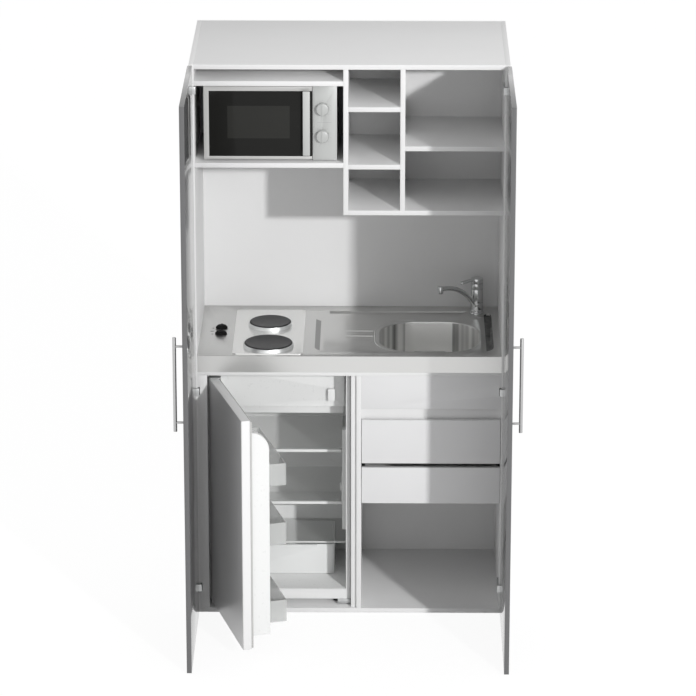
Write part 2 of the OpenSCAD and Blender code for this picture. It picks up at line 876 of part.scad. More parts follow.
// Collar around the neck, arched tube and outlet block
module tap_spout() {
    color("silver") from_front() at_tap() difference() {
        union() {
            post(0, 0, spout_ring_z, spout_ring_z + spout_ring_h, tap_r);
            translate([spout_reach, 0, spout_top_z - bend_r]) rotate([90, 0, 0]) rotate([0, 0, 90])
                rotate_extrude(angle = spout_rise_deg) translate([bend_r, 0]) circle(d = spout_d);
            post(spout_reach, 0, spout_top_z - 14, spout_top_z + 9.5, spout_d / 2 + 1);
        }
        post(0, 0, spout_ring_z - lap, spout_ring_z + spout_ring_h + lap, tap_neck_r + run_fit);
        post(0, 0, spout_ring_z + spout_ring_h, spout_top_z + spout_d, tap_r + slide_gap);
    }
}

pivot_x = -12;
pivot_z = tap_top_z + slide_gap + head_h + 6;
head_z1 = tap_top_z + slide_gap + head_h;

// Turning head with a lug for the lever pin
module tap_cartridge() {
    color("silver") from_front() at_tap() difference() {
        union() {
            post(0, 0, tap_top_z + slide_gap, head_z1, tap_r - 0.4);
            post(0, 0, tap_top_z - 15, tap_top_z + 1, stem_r);
            translate([pivot_x - 5, -lug_half, head_z1 - 1]) cube([10, 2 * lug_half, 12]);
        }
        translate([pivot_x, lug_half + lap, pivot_z]) rotate([90, 0, 0])
            cylinder(h = 2 * lug_half + 2 * lap, r = lever_pin_r + run_fit);
    }
}

// Cap and flat handle, which tilt about the pin in the lug
module tap_lever() {
    z0 = head_z1 + 1;
    z1 = head_z1 + 17;
    color("silver") from_front() at_tap() {
        difference() {
            union() {
                post(0, 0, z0, z1, tap_r - 0.8);
                round_slab(0, lever_l, -8, 8, z1 - 6, z1, 7.5);
            }
            translate([pivot_x - 12, -lug_half - slide_gap, z0 - lap])
                cube([19.5, 2 * (lug_half + slide_gap), 13.5]);
            translate([-tap_r - lap, -tap_r, z0 - lap]) cube([tap_r + pivot_x + 3, 2 * tap_r, 7]);
        }
        translate([pivot_x, lug_half + 4, pivot_z]) rotate([90, 0, 0])
            cylinder(h = 2 * lug_half + 8, r = lever_pin_r);
    }
}

// ---------------------------------------------------------------- microwave oven

// Sheet case, open at the front, with feet and two ears for the door pins
module microwave_case() {
    color("silver") from_front() difference() {
        union() {
            slab(oven_x0, oven_x1, oven_case_y0, oven_case_y1, oven_z0, oven_z1);
            for (z = [oven_z0, oven_z1 - oven_sheet])
                slab(oven_x0, oven_pin_x + 6, oven_pin_y - 5, oven_case_y0 + 1, z, z + oven_sheet);
            for (x = [oven_x0 + 40, oven_x1 - 40], y = [oven_case_y0 + 30, oven_case_y1 - 40])
                post(x, y, oven_board_zs[0] + board_t, oven_z0 + 1, 9);
        }
        slab(oven_x0 + oven_sheet, oven_x1 - oven_sheet, oven_case_y0 - lap,
            oven_case_y1 - oven_sheet, oven_z0 + oven_sheet, oven_z1 - oven_sheet);
        post(oven_pin_x, oven_pin_y, oven_z0 - lap, oven_z1 + lap, oven_pin_r + run_fit);
    }
}

// Cooking space with its front flange, and the motor housing below
module microwave_cavity() {
    color("gainsboro") from_front() difference() {
        union() {
            slab(oven_x0 + oven_sheet, oven_door_x1, oven_case_y0, oven_case_y0 + 3,
                oven_z0 + oven_sheet, oven_z1 - oven_sheet);
            slab(cav_x0 - cav_t, cav_x1 + cav_t, oven_case_y0, cav_y1 + cav_t, cav_z0 - cav_t,
                cav_z1 + cav_t);
            slab(table_x - 25, table_x + 25, table_y - 25, table_y + 25, oven_z0 + 5, cav_z0);
        }
        slab(cav_x0, cav_x1, oven_case_y0 - lap, cav_y1, cav_z0, cav_z1);
        post(table_x, table_y, cav_z0 - 11, cav_z0 + lap, table_shaft_r + run_fit);
    }
}

module microwave_panel() {
    color("silver") from_front() difference() {
        slab(oven_x1 - oven_panel_w, oven_x1, oven_door_y0, oven_case_y0, oven_z0, oven_z1);
        for (z = oven_knob_zs)
            bar_y(oven_knob_x, z, oven_door_y0 - lap, oven_case_y0 - 3, oven_shaft_r + run_fit);
    }
}

window_x0 = oven_x0 + 77;
window_x1 = oven_door_x1 - 73;
window_z0 = oven_z0 + 74;
window_z1 = oven_z1 - 69;
glass_x0 = oven_x0 + 17;
glass_z0 = oven_z0 + 12;
glass_z1 = oven_z1 - 17;

// Door frame with the window aperture, a bed for the glass, and two hinge pins
module microwave_door() {
    color("silver") from_front() {
        difference() {
            slab(oven_x0, oven_door_x1, oven_door_y0, oven_door_y1, oven_z0 + oven_lip,
                oven_z1 - oven_lip);
            slab(glass_x0, oven_door_x1 + lap, oven_door_y0 - lap, oven_door_y0 + glass_t,
                glass_z0, glass_z1);
            slab(window_x0, window_x1, oven_door_y0, oven_door_y1 + lap, window_z0, window_z1);
        }
        for (z = [oven_z0, oven_z1 - oven_lip - lap])
            post(oven_pin_x, oven_pin_y, z, z + oven_lip + lap, oven_pin_r);
    }
}

module microwave_window() {
    color("black") from_front()
        slab(glass_x0, oven_door_x1, oven_door_y0, oven_door_y0 + glass_t, glass_z0, glass_z1);
}

oven_handle_w = 23;
oven_handle_t = 5;
oven_handle_in = 7;
oven_handle_out = 15;
oven_post_w = 13;
oven_post_h = 20;

// Flat upright handle on two posts
module microwave_handle() {
    x1 = oven_door_x1 - oven_handle_in;
    x0 = x1 - oven_handle_w;
    post_x0 = (x0 + x1 - oven_post_w) / 2;
    face_y = oven_door_y0 - oven_handle_out;
    color("silver") from_front() {
        round_front(x0, x1, face_y - oven_handle_t, face_y, glass_z0 + 7, glass_z1 + 3, 2);
        for (z = [glass_z0 + 8, glass_z1 - 8 - oven_post_h])
            slab(post_x0, post_x0 + oven_post_w, face_y, oven_door_y0, z, z + oven_post_h);
    }
}

module oven_knob(z) {
    r = oven_knob_d / 2;
    face_y = oven_door_y0 - 0.5;
    translate([oven_knob_x, face_y, z]) rotate([90, 0, 0]) rotate_extrude()
        polygon([[0, 0], [r, 0], [r, 13], [r - 1.5, 15], [r - 4, 16], [0, 16]]);
    translate([oven_knob_x - 3, face_y - 18, z - r + 2]) cube([6, 4, 2 * r - 4]);
    bar_y(oven_knob_x, z, face_y - 1, oven_case_y0 - 5, oven_shaft_r);
}

module microwave_knob_power() {
    color("lightgray") from_front() oven_knob(oven_knob_zs[0]);
}

module microwave_knob_timer() {
    color("lightgray") from_front() oven_knob(oven_knob_zs[1]);
}

module turntable_plate() {
    color("aliceblue") from_front() translate([table_x, table_y, 0]) {
        translate([0, 0, table_z]) rotate_extrude() polygon([[0, 0], [table_r - 12, 0],
            [table_r, 6], [table_r, 9], [table_r - 3, 9], [table_r - 14, 4], [0, 4]]);
        translate([0, 0, cav_z0 - 10]) cylinder(h = table_z - cav_z0 + 11, r = table_shaft_r);
    }
}

transformer_y = oven_case_y0 + 30;
transformer_d = 90;
transformer_h = 72;
magnetron_y = oven_case_y0 + 200;
magnetron_z = oven_z0 + 146;
magnetron_w = 58;
magnetron_half_d = 40;
magnetron_half_h = 34;
cap_r = 18;
cap_l = 15;

// Transformer on the case floor, and magnetron with its round cap on the cavity wall
module microwave_power_unit() {
    magnetron_x0 = cav_x1 + cav_t;
    magnetron_x1 = magnetron_x0 + magnetron_w;
    color("darkgray") from_front() {
        slab(cav_x1 + 12, oven_x1 - 8, transformer_y, transformer_y + transformer_d,
            oven_z0 + oven_sheet, oven_z0 + transformer_h);
        slab(magnetron_x0, magnetron_x1, magnetron_y - magnetron_half_d,
            magnetron_y + magnetron_half_d, magnetron_z - magnetron_half_h,
            magnetron_z + magnetron_half_h);
        bar_x(magnetron_y, magnetron_z, magnetron_x1, magnetron_x1 + cap_l, cap_r);
    }
}

// ---------------------------------------------------------------- refrigerator

// Space inside the refrigerator, smaller by grow on every wall but the front
module fridge_space(grow) {
    slab(mouth_x0 - grow, mouth_x1 + grow, fridge_y0 - lap, step_y + grow, mouth_z0 - grow,
        mouth_z1 + grow);
    slab(mouth_x0 - grow, mouth_x1 + grow, fridge_y0 - lap, inner_y1 + grow, step_z - grow,
        mouth_z1 + grow);
}

module fridge_case() {
    color("white") from_front() difference() {
        slab(fridge_x0, fridge_x1, fridge_y0, fridge_y1, fridge_z0, fridge_z1);
        fridge_space(liner_t);
        slab(mouth_x0, mouth_x1 - 10, step_y + niche_wall, fridge_y1 + lap, fridge_z0 - lap,
            step_z - niche_wall);
    }
}

// Moulded inner skin with shelf ledges and the control rib on its right wall
module fridge_liner() {
    color("white") from_front() {
        difference() {
            fridge_space(liner_t);
            fridge_space(0);
            slab(mouth_x0 - 5, mouth_x1 + 5, fridge_y0 - 2 * lap, fridge_y0, mouth_z0 - 5,
                mouth_z1 + 5);
        }
        for (z = shelf_zs, x = [mouth_x0 - 1, mouth_x1 - ledge_w - 4])
            slab(x, x + ledge_w + 5, shelf_front_y + 12, inner_y1 + 1, z - ledge_h, z + 2);
        difference() {
            union() {
                slab(rib_x, mouth_x1 + 1, rib_y0, rib_y1, rib_z0, rib_z1);
                slab(rib_x - 2, mouth_x1 + 1, rib_y0 + 2, rib_y1, dial_z - 49, dial_z + 49);
            }
            bar_x(dial_y, dial_z, rib_x - 2 - lap, rib_x + 9, 3 + run_fit);
        }
    }
}

module thermostat_dial() {
    color("white") from_front() {
        bar_x(dial_y, dial_z, rib_x - 8, rib_x - 2.4, dial_r);
        bar_x(dial_y, dial_z, rib_x - 3, rib_x + 8, 3);
    }
}

// Freezing compartment with its front lugs and the drip tray below it
module fridge_ice_box() {
    x0 = mouth_x0 + 4;
    x1 = mouth_x1 - 4;
    z1 = mouth_z1 - 1;
    color("white") from_front() difference() {
        union() {
            slab(x0, x1, ice_y0, inner_y1, ice_z0, z1);
            slab(x0 + 6, x1 - 6, ice_y0 + 14, inner_y1 - 30, ice_z0 - 29, ice_z0 + 1);
            slab(x0, flap_pin_x + 7, flap_y0 - 4, ice_y0 + 1, ice_z0 - 2, ice_z0 + ice_t);
            slab(x0, flap_pin_x + 7, flap_y0 - 4, ice_y0 + 1, z1 - ice_t, z1);
        }
        slab(x0 + ice_t, x1 - ice_t, ice_y0 - lap, inner_y1 - ice_t, ice_z0 + ice_t, z1 - ice_t);
        slab(x0 + 9, x1 - 9, ice_y0 + 17, inner_y1 - 33, ice_z0 - 26, ice_z0 - 4);
        slab(x0 - lap, flap_pin_x + 8, flap_y0 - 5, ice_y0, ice_z0 + ice_t, z1 - ice_t);
        post(flap_pin_x, flap_pin_y, ice_z0 - 3, z1 + lap, flap_pin_r + run_fit);
    }
}

// Flap of the freezing compartment, hinged at its left edge, with a latch grip
module fridge_flap() {
    x0 = mouth_x0 + 8;
    x1 = mouth_x1 - 6;
    z0 = ice_z0 + ice_t + slide_gap;
    z1 = mouth_z1 - 1 - ice_t - slide_gap;
    color("white") from_front() {
        round_front(x0, x1, flap_y0, flap_y1, z0, z1, 5);
        round_front(x1 - 55, x1 - 32, flap_y0 - 18, flap_y0 + 1, z0 + 25, z0 + 66, 3);
        for (z = [z0 - 3, z1 - 1]) post(flap_pin_x, flap_pin_y, z, z + 4, flap_pin_r);
    }
}

module glass_shelf(z) {
    slab(shelf_x0, shelf_x1, shelf_front_y + 6, inner_y1 - 8, z + 2, z + 2 + shelf_glass_t);
    round_slab(shelf_x0, shelf_x1, shelf_front_y, shelf_front_y + 10, z, z + shelf_trim_h, 3);
}

module fridge_shelves() {
    color("lightcyan") from_front() {
        for (z = shelf_zs) glass_shelf(z);
        slab(mouth_x0, mouth_x1, crisper_y0 + 6, step_y, cover_z, cover_z + cover_t);
    }
}

module crisper_drawer() {
    color("azure") from_front() {
        difference() {
            round_slab(crisper_x0, crisper_x1, crisper_y0, crisper_y1, crisper_z0, crisper_z1,
                crisper_r);
            round_slab(crisper_x0 + mould_t, crisper_x1 - mould_t, crisper_y0 + mould_t,
                crisper_y1 - mould_t, crisper_z0 + mould_t, crisper_z1 + lap, crisper_r - mould_t);
        }
        slab(crisper_x0 + crisper_lip_in, crisper_x1 - crisper_lip_in,
            crisper_y0 - crisper_lip_d, crisper_y0 + 1, crisper_z1 - crisper_lip_t, crisper_z1);
    }
}

compressor_r = 52;
compressor_h = 115;
grid_out = 12;
grid_down = 40;
grid_pitch = 45;
grid_end = 20;
grid_tube_r = 2.5;

// Compressor on its plate in the niche, and the tube grid behind the case
module fridge_cooling_unit() {
    cx = (mouth_x0 + mouth_x1) / 2;
    cy = fridge_y1 - compressor_r - 8;
    grid_y = fridge_y1 + grid_out;
    grid_z0 = step_z;
    grid_z1 = fridge_z1 - grid_down;
    color("dimgray") from_front() {
        slab(mouth_x0 + 10, mouth_x1 - 20, step_y + niche_wall + 6, fridge_y1, fridge_z0 + 2,
            fridge_z0 + 6);
        post(cx, cy, fridge_z0 + 5, fridge_z0 + 5 + compressor_h, compressor_r);
        for (x = [mouth_x0 + 6, cx, mouth_x1 - 6]) slab(x - 5, x + 5, fridge_y1, grid_y,
            grid_z0, grid_z1);
        for (z = [grid_z0 + grid_end : grid_pitch : grid_z1 - grid_end])
            bar_x(grid_y + 1, z, mouth_x0, mouth_x1, grid_tube_r);
    }
}

// Top and bottom brackets with the door pins, and the foot bracket at the right
module fridge_hinges() {
    plate_t = 3;
    x0 = fd_pin_x - 14;
    x1 = fd_pin_x + 22;
    z_high = fd_z1 + slide_gap;
    color("silver") from_front() {
        slab(x0, x1, fd_pin_y - 8, fridge_y0 + 20, fridge_z0 - plate_t, fridge_z0);
        post(fd_pin_x, fd_pin_y, fridge_z0 - 1, fd_z0 + fd_pin_l - 1, fd_pin_r);
        slab(x0, x1, fd_pin_y - 8, fridge_y0, z_high, z_high + plate_t);
        slab(x0, x1, fridge_y0 - plate_t, fridge_y0, z_high, fridge_z1 - 2);
        post(fd_pin_x, fd_pin_y, fd_z1 - fd_pin_l + 1, z_high + 1, fd_pin_r);
        slab(fridge_x1 - 44, fridge_x1, fridge_y0 - 4, fridge_y0 + 20, fridge_z0 - plate_t,
            fridge_z0);
        slab(fridge_x1 - 44, fridge_x1, fridge_y0 - 4, fridge_y0, fridge_z0 - 14, fridge_z0);
    }
}

// Door panel with round edges at the hinge side
module fridge_door_shell() {
    color("lightgray") from_front() fridge_opened() difference() {
        union() {
            translate([0, 0, fd_z0]) linear_extrude(fridge_door_h) {
                round_outline(fd_x0, fd_x0 + 60, fd_y0, fd_y1, fd_corner);
                translate([fd_x0 + 30, fd_y0]) square([fd_x1 - fd_x0 - 30 - 4, fridge_door_t]);
                round_outline(fd_x1 - 40, fd_x1, fd_y0, fd_y1, 4);
            }
        }
        post(fd_pin_x, fd_pin_y, fd_z0 - lap, fd_z0 + fd_pin_l, fd_pin_r + run_fit);
        post(fd_pin_x, fd_pin_y, fd_z1 - fd_pin_l, fd_z1 + lap, fd_pin_r + run_fit);
    }
}

// Outline of the moulded inside of the door, seen from its free edge
module liner_side() {
    depth = liner_depth - 3;
    square([depth, liner_top_z - depth - liner_z0]);
    translate([0, liner_top_z - depth - liner_z0]) intersection() {
        circle(depth);
        square(depth);
    }
}

module liner_dyke(x) {
    translate([x, fd_y1 + 3, liner_z0]) rotate([90, 0, 90]) linear_extrude(dyke_w) liner_side();
}

module fridge_door_liner() {
    color("white") from_front() fridge_opened() {
        slab(liner_x0, liner_x1, fd_y1, fd_y1 + 3, liner_z0 - 6, liner_top_z + 4);
        liner_dyke(liner_x0);
        liner_dyke(liner_x1 - dyke_w);
    }
}

module fridge_door_gasket() {
    x0 = fd_pin_x - 1.5;
    x1 = fd_x1 - 1.5;
    z0 = fd_z0 + 4;
    z1 = fd_z1 - 4;
    color("gainsboro") from_front() fridge_opened() difference() {
        slab(x0, x1, fd_y1, fridge_y0 - seal_gap, z0, z1);
        slab(x0 + 10, x1 - 10, fd_y1 - lap, fridge_y0 + lap, z0 + 10, z1 - 10);
    }
}

module door_bin(z) {
    x0 = liner_x0 + dyke_w;
    x1 = liner_x1 - dyke_w;
    y0 = fd_y1 + 3;
    y1 = fd_y1 + bin_depth;
    difference() {
        slab(x0, x1, y0, y1, z, z + bin_h);
        slab(x0 + mould_t, x1 - mould_t, y0 + mould_t, y1 - mould_t, z + mould_t,
            z + bin_h + lap);
    }
}

module fridge_door_bins() {
    color("lightcyan") from_front() fridge_opened() for (z = bin_zs) door_bin(z);
}

// ---------------------------------------------------------------- drawers

runner_y0 = board_t + 4;
runner_up_z = drawer_up_z + 62;
runner_low_z = drawer_low_z + 52;
box_lift = 18;

module drawer_front(z, h) {
    slab(bay_x0 + front_gap, bay_x1 - front_gap, 0, board_t, z, z + h);
}

// Open box with a groove-fitted floor and a runner bar on each side
module drawer_box(z0, z1, runner_z) {
    y1 = board_t + drawer_l;
    difference() {
        slab(box_x0, box_x1, board_t, y1, z0, z1);
        slab(box_x0 + drawer_wall, box_x1 - drawer_wall, board_t + drawer_wall, y1 - drawer_wall,
            z0 + 14, z1 + lap);
        slab(box_x0 + drawer_wall, box_x1 - drawer_wall, board_t + drawer_wall, y1 - drawer_wall,
            z0 - lap, z0 + 8);
    }
    for (side = [0, 1]) runner_bar(side, runner_z, y1);
}

module runner_bar(side, z, y1) {
    x0 = side == 0 ? bay_x0 + runner_t + slide_gap : box_x1 - 0.5;
    x1 = side == 0 ? box_x0 + 0.5 : bay_x1 - runner_t - slide_gap;
    slab(x0, x1, board_t + 4, y1 - 4, z + runner_t + slide_gap, z + runner_h - runner_t - slide_gap);
}

module drawer_front_upper() {
    color("gainsboro") from_front() drawer_front(drawer_up_z, drawer_up_h);
}

module drawer_front_lower() {
    color("gainsboro") from_front() drawer_front(drawer_low_z, drawer_low_h);
}

module drawer_box_upper() {
    color("whitesmoke") from_front()
        drawer_box(drawer_up_z + box_lift, drawer_up_z + box_lift + drawer_box_up_h, runner_up_z);
}

module drawer_box_lower() {
    color("whitesmoke") from_front()
        drawer_box(drawer_low_z + box_lift, drawer_low_z + box_lift + drawer_box_low_h,
            runner_low_z);
}

// Channel fixed to the side of the drawer bay
module runner_channel(z) {
    y1 = runner_y0 + drawer_l;
    difference() {
        slab(bay_x0, bay_x0 + runner_w, runner_y0, y1, z, z + runner_h);
        slab(bay_x0 + runner_t, bay_x0 + runner_w + lap, runner_y0 - lap, y1 + lap, z + runner_t,
            z + runner_h - runner_t);
    }
}

module drawer_runners() {
    color("silver") from_front() for (z = [runner_up_z, runner_low_z]) {
        runner_channel(z);
        translate([bay_x0 + bay_x1, 0, 0]) mirror([1, 0, 0]) runner_channel(z);
    }
}

// ---------------------------------------------------------------- drawing

side_panel_left();
side_panel_right();
top_panel();
base_panel();
back_panel();
inner_back_panels();
shelves();
upper_dividers();
lower_divider();
cross_rails();
sink_fascia();
filler_strips();
levelling_feet();
outer_door_left();
outer_door_right();
door_handle_left();
door_handle_right();
hinge_cups_left();
hinge_cups_right();
hinge_arms();
sink_top();
sink_strainer();
sink_trap();
hotplates();
hotplate_rings();
hob_tray();
hob_knob_rear();
hob_knob_front();
tap_body();
tap_spout();
tap_cartridge();
tap_lever();
microwave_case();
microwave_cavity();
microwave_panel();
microwave_door();
microwave_window();
microwave_handle();
microwave_knob_power();
microwave_knob_timer();
turntable_plate();
microwave_power_unit();
fridge_case();
fridge_liner();
fridge_ice_box();
fridge_flap();
fridge_shelves();
crisper_drawer();
thermostat_dial();
fridge_cooling_unit();
fridge_hinges();
fridge_door_shell();
fridge_door_liner();
fridge_door_gasket();
fridge_door_bins();
drawer_front_upper();
drawer_box_upper();
drawer_front_lower();
drawer_box_lower();
drawer_runners();
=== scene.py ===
"""Finished surfaces, fittings and studio for a cupboard kitchenette."""

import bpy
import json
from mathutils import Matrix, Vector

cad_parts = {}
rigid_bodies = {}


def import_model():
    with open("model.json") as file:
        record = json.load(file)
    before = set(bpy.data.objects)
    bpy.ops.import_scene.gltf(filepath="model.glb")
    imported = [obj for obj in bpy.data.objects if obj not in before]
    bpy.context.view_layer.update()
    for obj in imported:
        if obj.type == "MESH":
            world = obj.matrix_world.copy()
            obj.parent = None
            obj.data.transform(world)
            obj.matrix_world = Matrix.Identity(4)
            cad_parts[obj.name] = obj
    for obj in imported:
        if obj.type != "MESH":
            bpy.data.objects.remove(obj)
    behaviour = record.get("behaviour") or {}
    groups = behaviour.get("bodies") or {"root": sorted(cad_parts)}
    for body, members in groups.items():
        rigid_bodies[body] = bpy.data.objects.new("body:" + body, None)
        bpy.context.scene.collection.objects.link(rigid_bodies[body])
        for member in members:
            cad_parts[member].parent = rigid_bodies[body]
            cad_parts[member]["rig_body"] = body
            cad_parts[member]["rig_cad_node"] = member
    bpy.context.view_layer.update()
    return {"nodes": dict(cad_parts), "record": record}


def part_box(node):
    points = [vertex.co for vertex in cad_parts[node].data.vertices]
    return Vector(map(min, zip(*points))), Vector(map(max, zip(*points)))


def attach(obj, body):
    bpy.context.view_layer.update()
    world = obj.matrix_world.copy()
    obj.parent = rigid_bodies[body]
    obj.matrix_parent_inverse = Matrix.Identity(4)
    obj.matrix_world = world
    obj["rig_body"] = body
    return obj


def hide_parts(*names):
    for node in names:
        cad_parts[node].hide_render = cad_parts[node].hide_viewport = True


bl_info = {
    "name": "Cupboard kitchenette",
    "version": (1, 0, 0),
    "blender": (4, 5, 0),
    "location": "3D View > Sidebar > Kitchenette",
    "description": "Boards, steel top, tap, microwave and refrigerator of a cupboard kitchenette",
    "category": "Object",
}

import json
import math

import bmesh
import bpy
from bpy.props import FloatProperty, FloatVectorProperty, PointerProperty
from mathutils import Vector

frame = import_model()

MM = 0.001
MERGE = 0.01 * MM  # vertices closer than this are one
TOUCH = 0.1 * MM  # heights closer than this are the same
FLAT_TURN = math.radians(0.5)  # faces that turn by less are one face
SMOOTH_TURN = math.radians(32)  # edges that turn by less are shaded smooth
SHARP_TURN = math.radians(30)  # edges that turn by more can be chosen and rounded
SLOTS = {part["node"]: part["material_slot"] for part in frame["record"]["subparts"]}


# ---------------------------------------------------------------- user settings


def colour(name, description, default):
    """A colour setting, in linear light"""
    return FloatVectorProperty(name=name, description=description, subtype="COLOR", size=3,
                               min=0.0, max=1.0, default=default)


def length(name, description, millimetres):
    """A length setting, written in millimetres and kept in metres"""
    return FloatProperty(name=name, description=description, unit="LENGTH", min=0.0,
                         precision=4, default=millimetres * MM)


class KitchenetteColours(bpy.types.PropertyGroup):
    board: colour("Boards", "White melamine of the cabinet boards", (0.82, 0.82, 0.82))
    door: colour("Outer doors", "High-gloss melamine of the outer doors", (0.115, 0.115, 0.118))
    front: colour("Drawer fronts", "Satin melamine of the drawer fronts", (0.80, 0.80, 0.805))
    steel: colour("Worktop steel", "Pressed stainless steel of the top", (0.67, 0.67, 0.66))
    bar: colour("Handle steel", "Brushed steel of the door handles", (0.52, 0.52, 0.52))
    chrome: colour("Chrome", "Plated tap and hotplate rings", (0.66, 0.67, 0.67))
    iron: colour("Hotplates", "Blackened cast iron", (0.050, 0.050, 0.052))
    knob: colour("Hob knobs", "Black moulded plastic", (0.012, 0.012, 0.012))
    oven: colour("Microwave paint", "Silver paint of the microwave case", (0.50, 0.50, 0.49))
    panel: colour("Microwave panel", "Silver plastic of the panel", (0.51, 0.52, 0.51))
    glass: colour("Microwave glass", "Black print behind the door glass", (0.012, 0.012, 0.011))
    skin: colour("Refrigerator skin", "White coated case and door", (0.82, 0.82, 0.82))
    liner: colour("Refrigerator liner", "White polystyrene inside", (0.84, 0.845, 0.84))
    clear: colour("Clear plastic", "Clear bins of the refrigerator door", (0.72, 0.73, 0.72))
    crisper: colour("Crisper", "Milky plastic of the crisper", (0.93, 0.94, 0.935))
    rubber: colour("Door seal", "Soft grey seal", (0.52, 0.52, 0.51))


class KitchenetteSizes(bpy.types.PropertyGroup):
    board_edge: length("Board edge", "Rounding of a board's edges", 0.6)
    metal_edge: length("Metal edge", "Rounding of small metal parts", 0.5)
    pressed_edge: length("Pressed edge", "Rounding of the pressed steel", 1.8)
    pressed_slope: length("Pressed slope", "Width of the slope at the ends of the field", 16.0)
    bowl_rim: length("Bowl rim", "Rounding where the bowl begins", 4.5)
    bowl_foot: length("Bowl foot", "Rounding at the bottom of the bowl", 30.0)
    bead: length("Pressed bead", "Radius of the beads pressed into the field", 2.4)


class KitchenetteStudio(bpy.types.PropertyGroup):
    key_azimuth: FloatProperty(name="Key azimuth", subtype="ANGLE", default=math.radians(26.2),
                               description="How far to the right the key stands")
    key_height: FloatProperty(name="Key height", description="Angle of the key above the floor",
                              subtype="ANGLE", default=math.radians(17.5))
    key_distance: FloatProperty(name="Key distance", description="Distance of the key lamp",
                                unit="LENGTH", default=16.0)
    key_size: FloatProperty(name="Key size", description="Side of the square key lamp",
                            unit="LENGTH", default=0.5)
    key_level: FloatProperty(name="Key level", default=0.55,
                             description="Light of the key on a white card that faces it")
    fill_level: FloatProperty(name="Fill level", description="Even light from all round",
                              default=0.61)


# ---------------------------------------------------------------- shader expressions


# Sockets of a Mix node that mixes colours
MIX_MASK, MIX_FIRST, MIX_SECOND, MIX_RESULT = 0, 6, 7, 2


def toned(paint, share):
    """The same colour darker or lighter, at most white"""
    return tuple(min(1.0, channel * share) for channel in paint)


class Value:
    """A socket in a node tree, on which arithmetic adds Math nodes"""

    def __init__(self, tree, socket):
        self.tree = tree
        self.socket = socket

    def math(self, operation, first, second=0.0):
        """Adds one Math node"""
        return self.tree.node("ShaderNodeMath", {"operation": operation}, {0: first, 1: second})

    def __add__(self, other):
        return self.math("ADD", self, other)

    def __sub__(self, other):
        return self.math("SUBTRACT", self, other)

    def __rsub__(self, other):
        return self.math("SUBTRACT", other, self)

    def __mul__(self, other):
        return self.math("MULTIPLY", self, other)

    def __truediv__(self, other):
        return self.math("DIVIDE", self, other)

    def __gt__(self, other):
        return self.math("GREATER_THAN", self, other)

    def __lt__(self, other):
        return self.math("LESS_THAN", self, other)

    __radd__ = __add__
    __rmul__ = __mul__

    def sine(self):
        return self.math("SINE", self)

    def root(self):
        return self.math("SQRT", self)

    def least(self, other):
        return self.math("MINIMUM", self, other)

    def most(self, other):
        return self.math("MAXIMUM", self, other)


class Tree:
    """Nodes and links of a material or a world"""

    def __init__(self, tree):
        self.nodes = tree.nodes
        self.links = tree.links

    def feed(self, socket, value):
        """Links a value to a socket, or writes a constant on it"""
        if isinstance(value, Value):
            self.links.new(value.socket, socket)
        else:
            socket.default_value = value

    def node(self, kind, settings=None, values=None, output=0):
        """Adds a node with its settings first, then the values or links of its sockets"""
        made = self.nodes.new(kind)
        for key, value in (settings or {}).items():
            setattr(made, key, value)
        for key, value in (values or {}).items():
            self.feed(made.inputs[key], value)
        return Value(self, made.outputs[output])


class Shader(Tree):
    """One material around a Principled BSDF. Constants go straight on its sockets"""

    def __init__(self, name, base, roughness, constants=None):
        self.material = bpy.data.materials.new(name)
        self.material.use_nodes = True
        super().__init__(self.material.node_tree)
        self.surface = self.nodes["Principled BSDF"]
        self.base = base
        self.roughness = roughness
        self.set("Base Color", (*base, 1.0))
        self.set("Roughness", roughness)
        for socket, value in (constants or {}).items():
            self.set(socket, value)

    def set(self, socket, value):
        """Feeds a socket of the surface"""
        self.feed(self.surface.inputs[socket], value)

    def place(self):
        """The place on the surface, in metres"""
        return self.node("ShaderNodeTexCoord", output="Object")

    def axis(self, letter):
        """One coordinate of the surface, in metres"""
        return self.node("ShaderNodeSeparateXYZ", values={0: self.place()}, output=letter)

    def stretched(self, scale):
        """The place on the surface, drawn out along the axes with a small scale"""
        return self.node("ShaderNodeMapping", values={"Vector": self.place(), "Scale": scale})

    def noise(self, scale, detail=2.0, stretch=None):
        """Noise around a half, with a scale in features per metre"""
        vector = self.stretched(stretch) if stretch else self.place()
        return self.node("ShaderNodeTexNoise", values={"Vector": vector, "Scale": scale,
                                                       "Detail": detail}, output="Fac")

    def paint(self, colour_or_value):
        """What a colour socket takes"""
        if isinstance(colour_or_value, Value):
            return colour_or_value
        return (*colour_or_value, 1.0)

    def mix(self, mask, first, second):
        """Goes from the first colour to the second one as the mask rises to one"""
        return self.node("ShaderNodeMix", {"data_type": "RGBA"},
                         {MIX_MASK: mask, MIX_FIRST: self.paint(first),
                          MIX_SECOND: self.paint(second)}, output=MIX_RESULT)

    def uneven(self, base, spread, scale, stretch=None):
        """Colour that wanders by a share around a base"""
        return self.mix(self.noise(scale, detail=3.0, stretch=stretch),
                        toned(base, 1 - spread), toned(base, 1 + spread))

    def tint(self, spread, scale, stretch=None):
        """Makes the base colour uneven"""
        self.set("Base Color", self.uneven(self.base, spread, scale, stretch))

    def wander(self, spread, scale, stretch=None):
        """Makes the roughness uneven"""
        noise = self.noise(scale, detail=3.0, stretch=stretch)
        self.set("Roughness", noise * (2 * spread) + (self.roughness - spread))

    def bump(self, height, distance, strength):
        self.set("Normal", self.node("ShaderNodeBump", values={
            "Strength": strength, "Distance": distance, "Height": height}))


def inside(value, low, high):
    """Mask that is one between two bounds"""
    return (value > low) * (value < high)


# ---------------------------------------------------------------- finishes


def melamine(name, base, roughness=0.42):
    """Satin melamine: faint orange peel and a barely uneven white"""
    shader = Shader(name, base, roughness, {"Specular IOR Level": 0.3})
    shader.tint(spread=0.012, scale=6.0)
    shader.wander(spread=0.05, scale=40.0)
    shader.bump(shader.noise(900.0), distance=0.02 * MM, strength=0.5)
    return shader.material


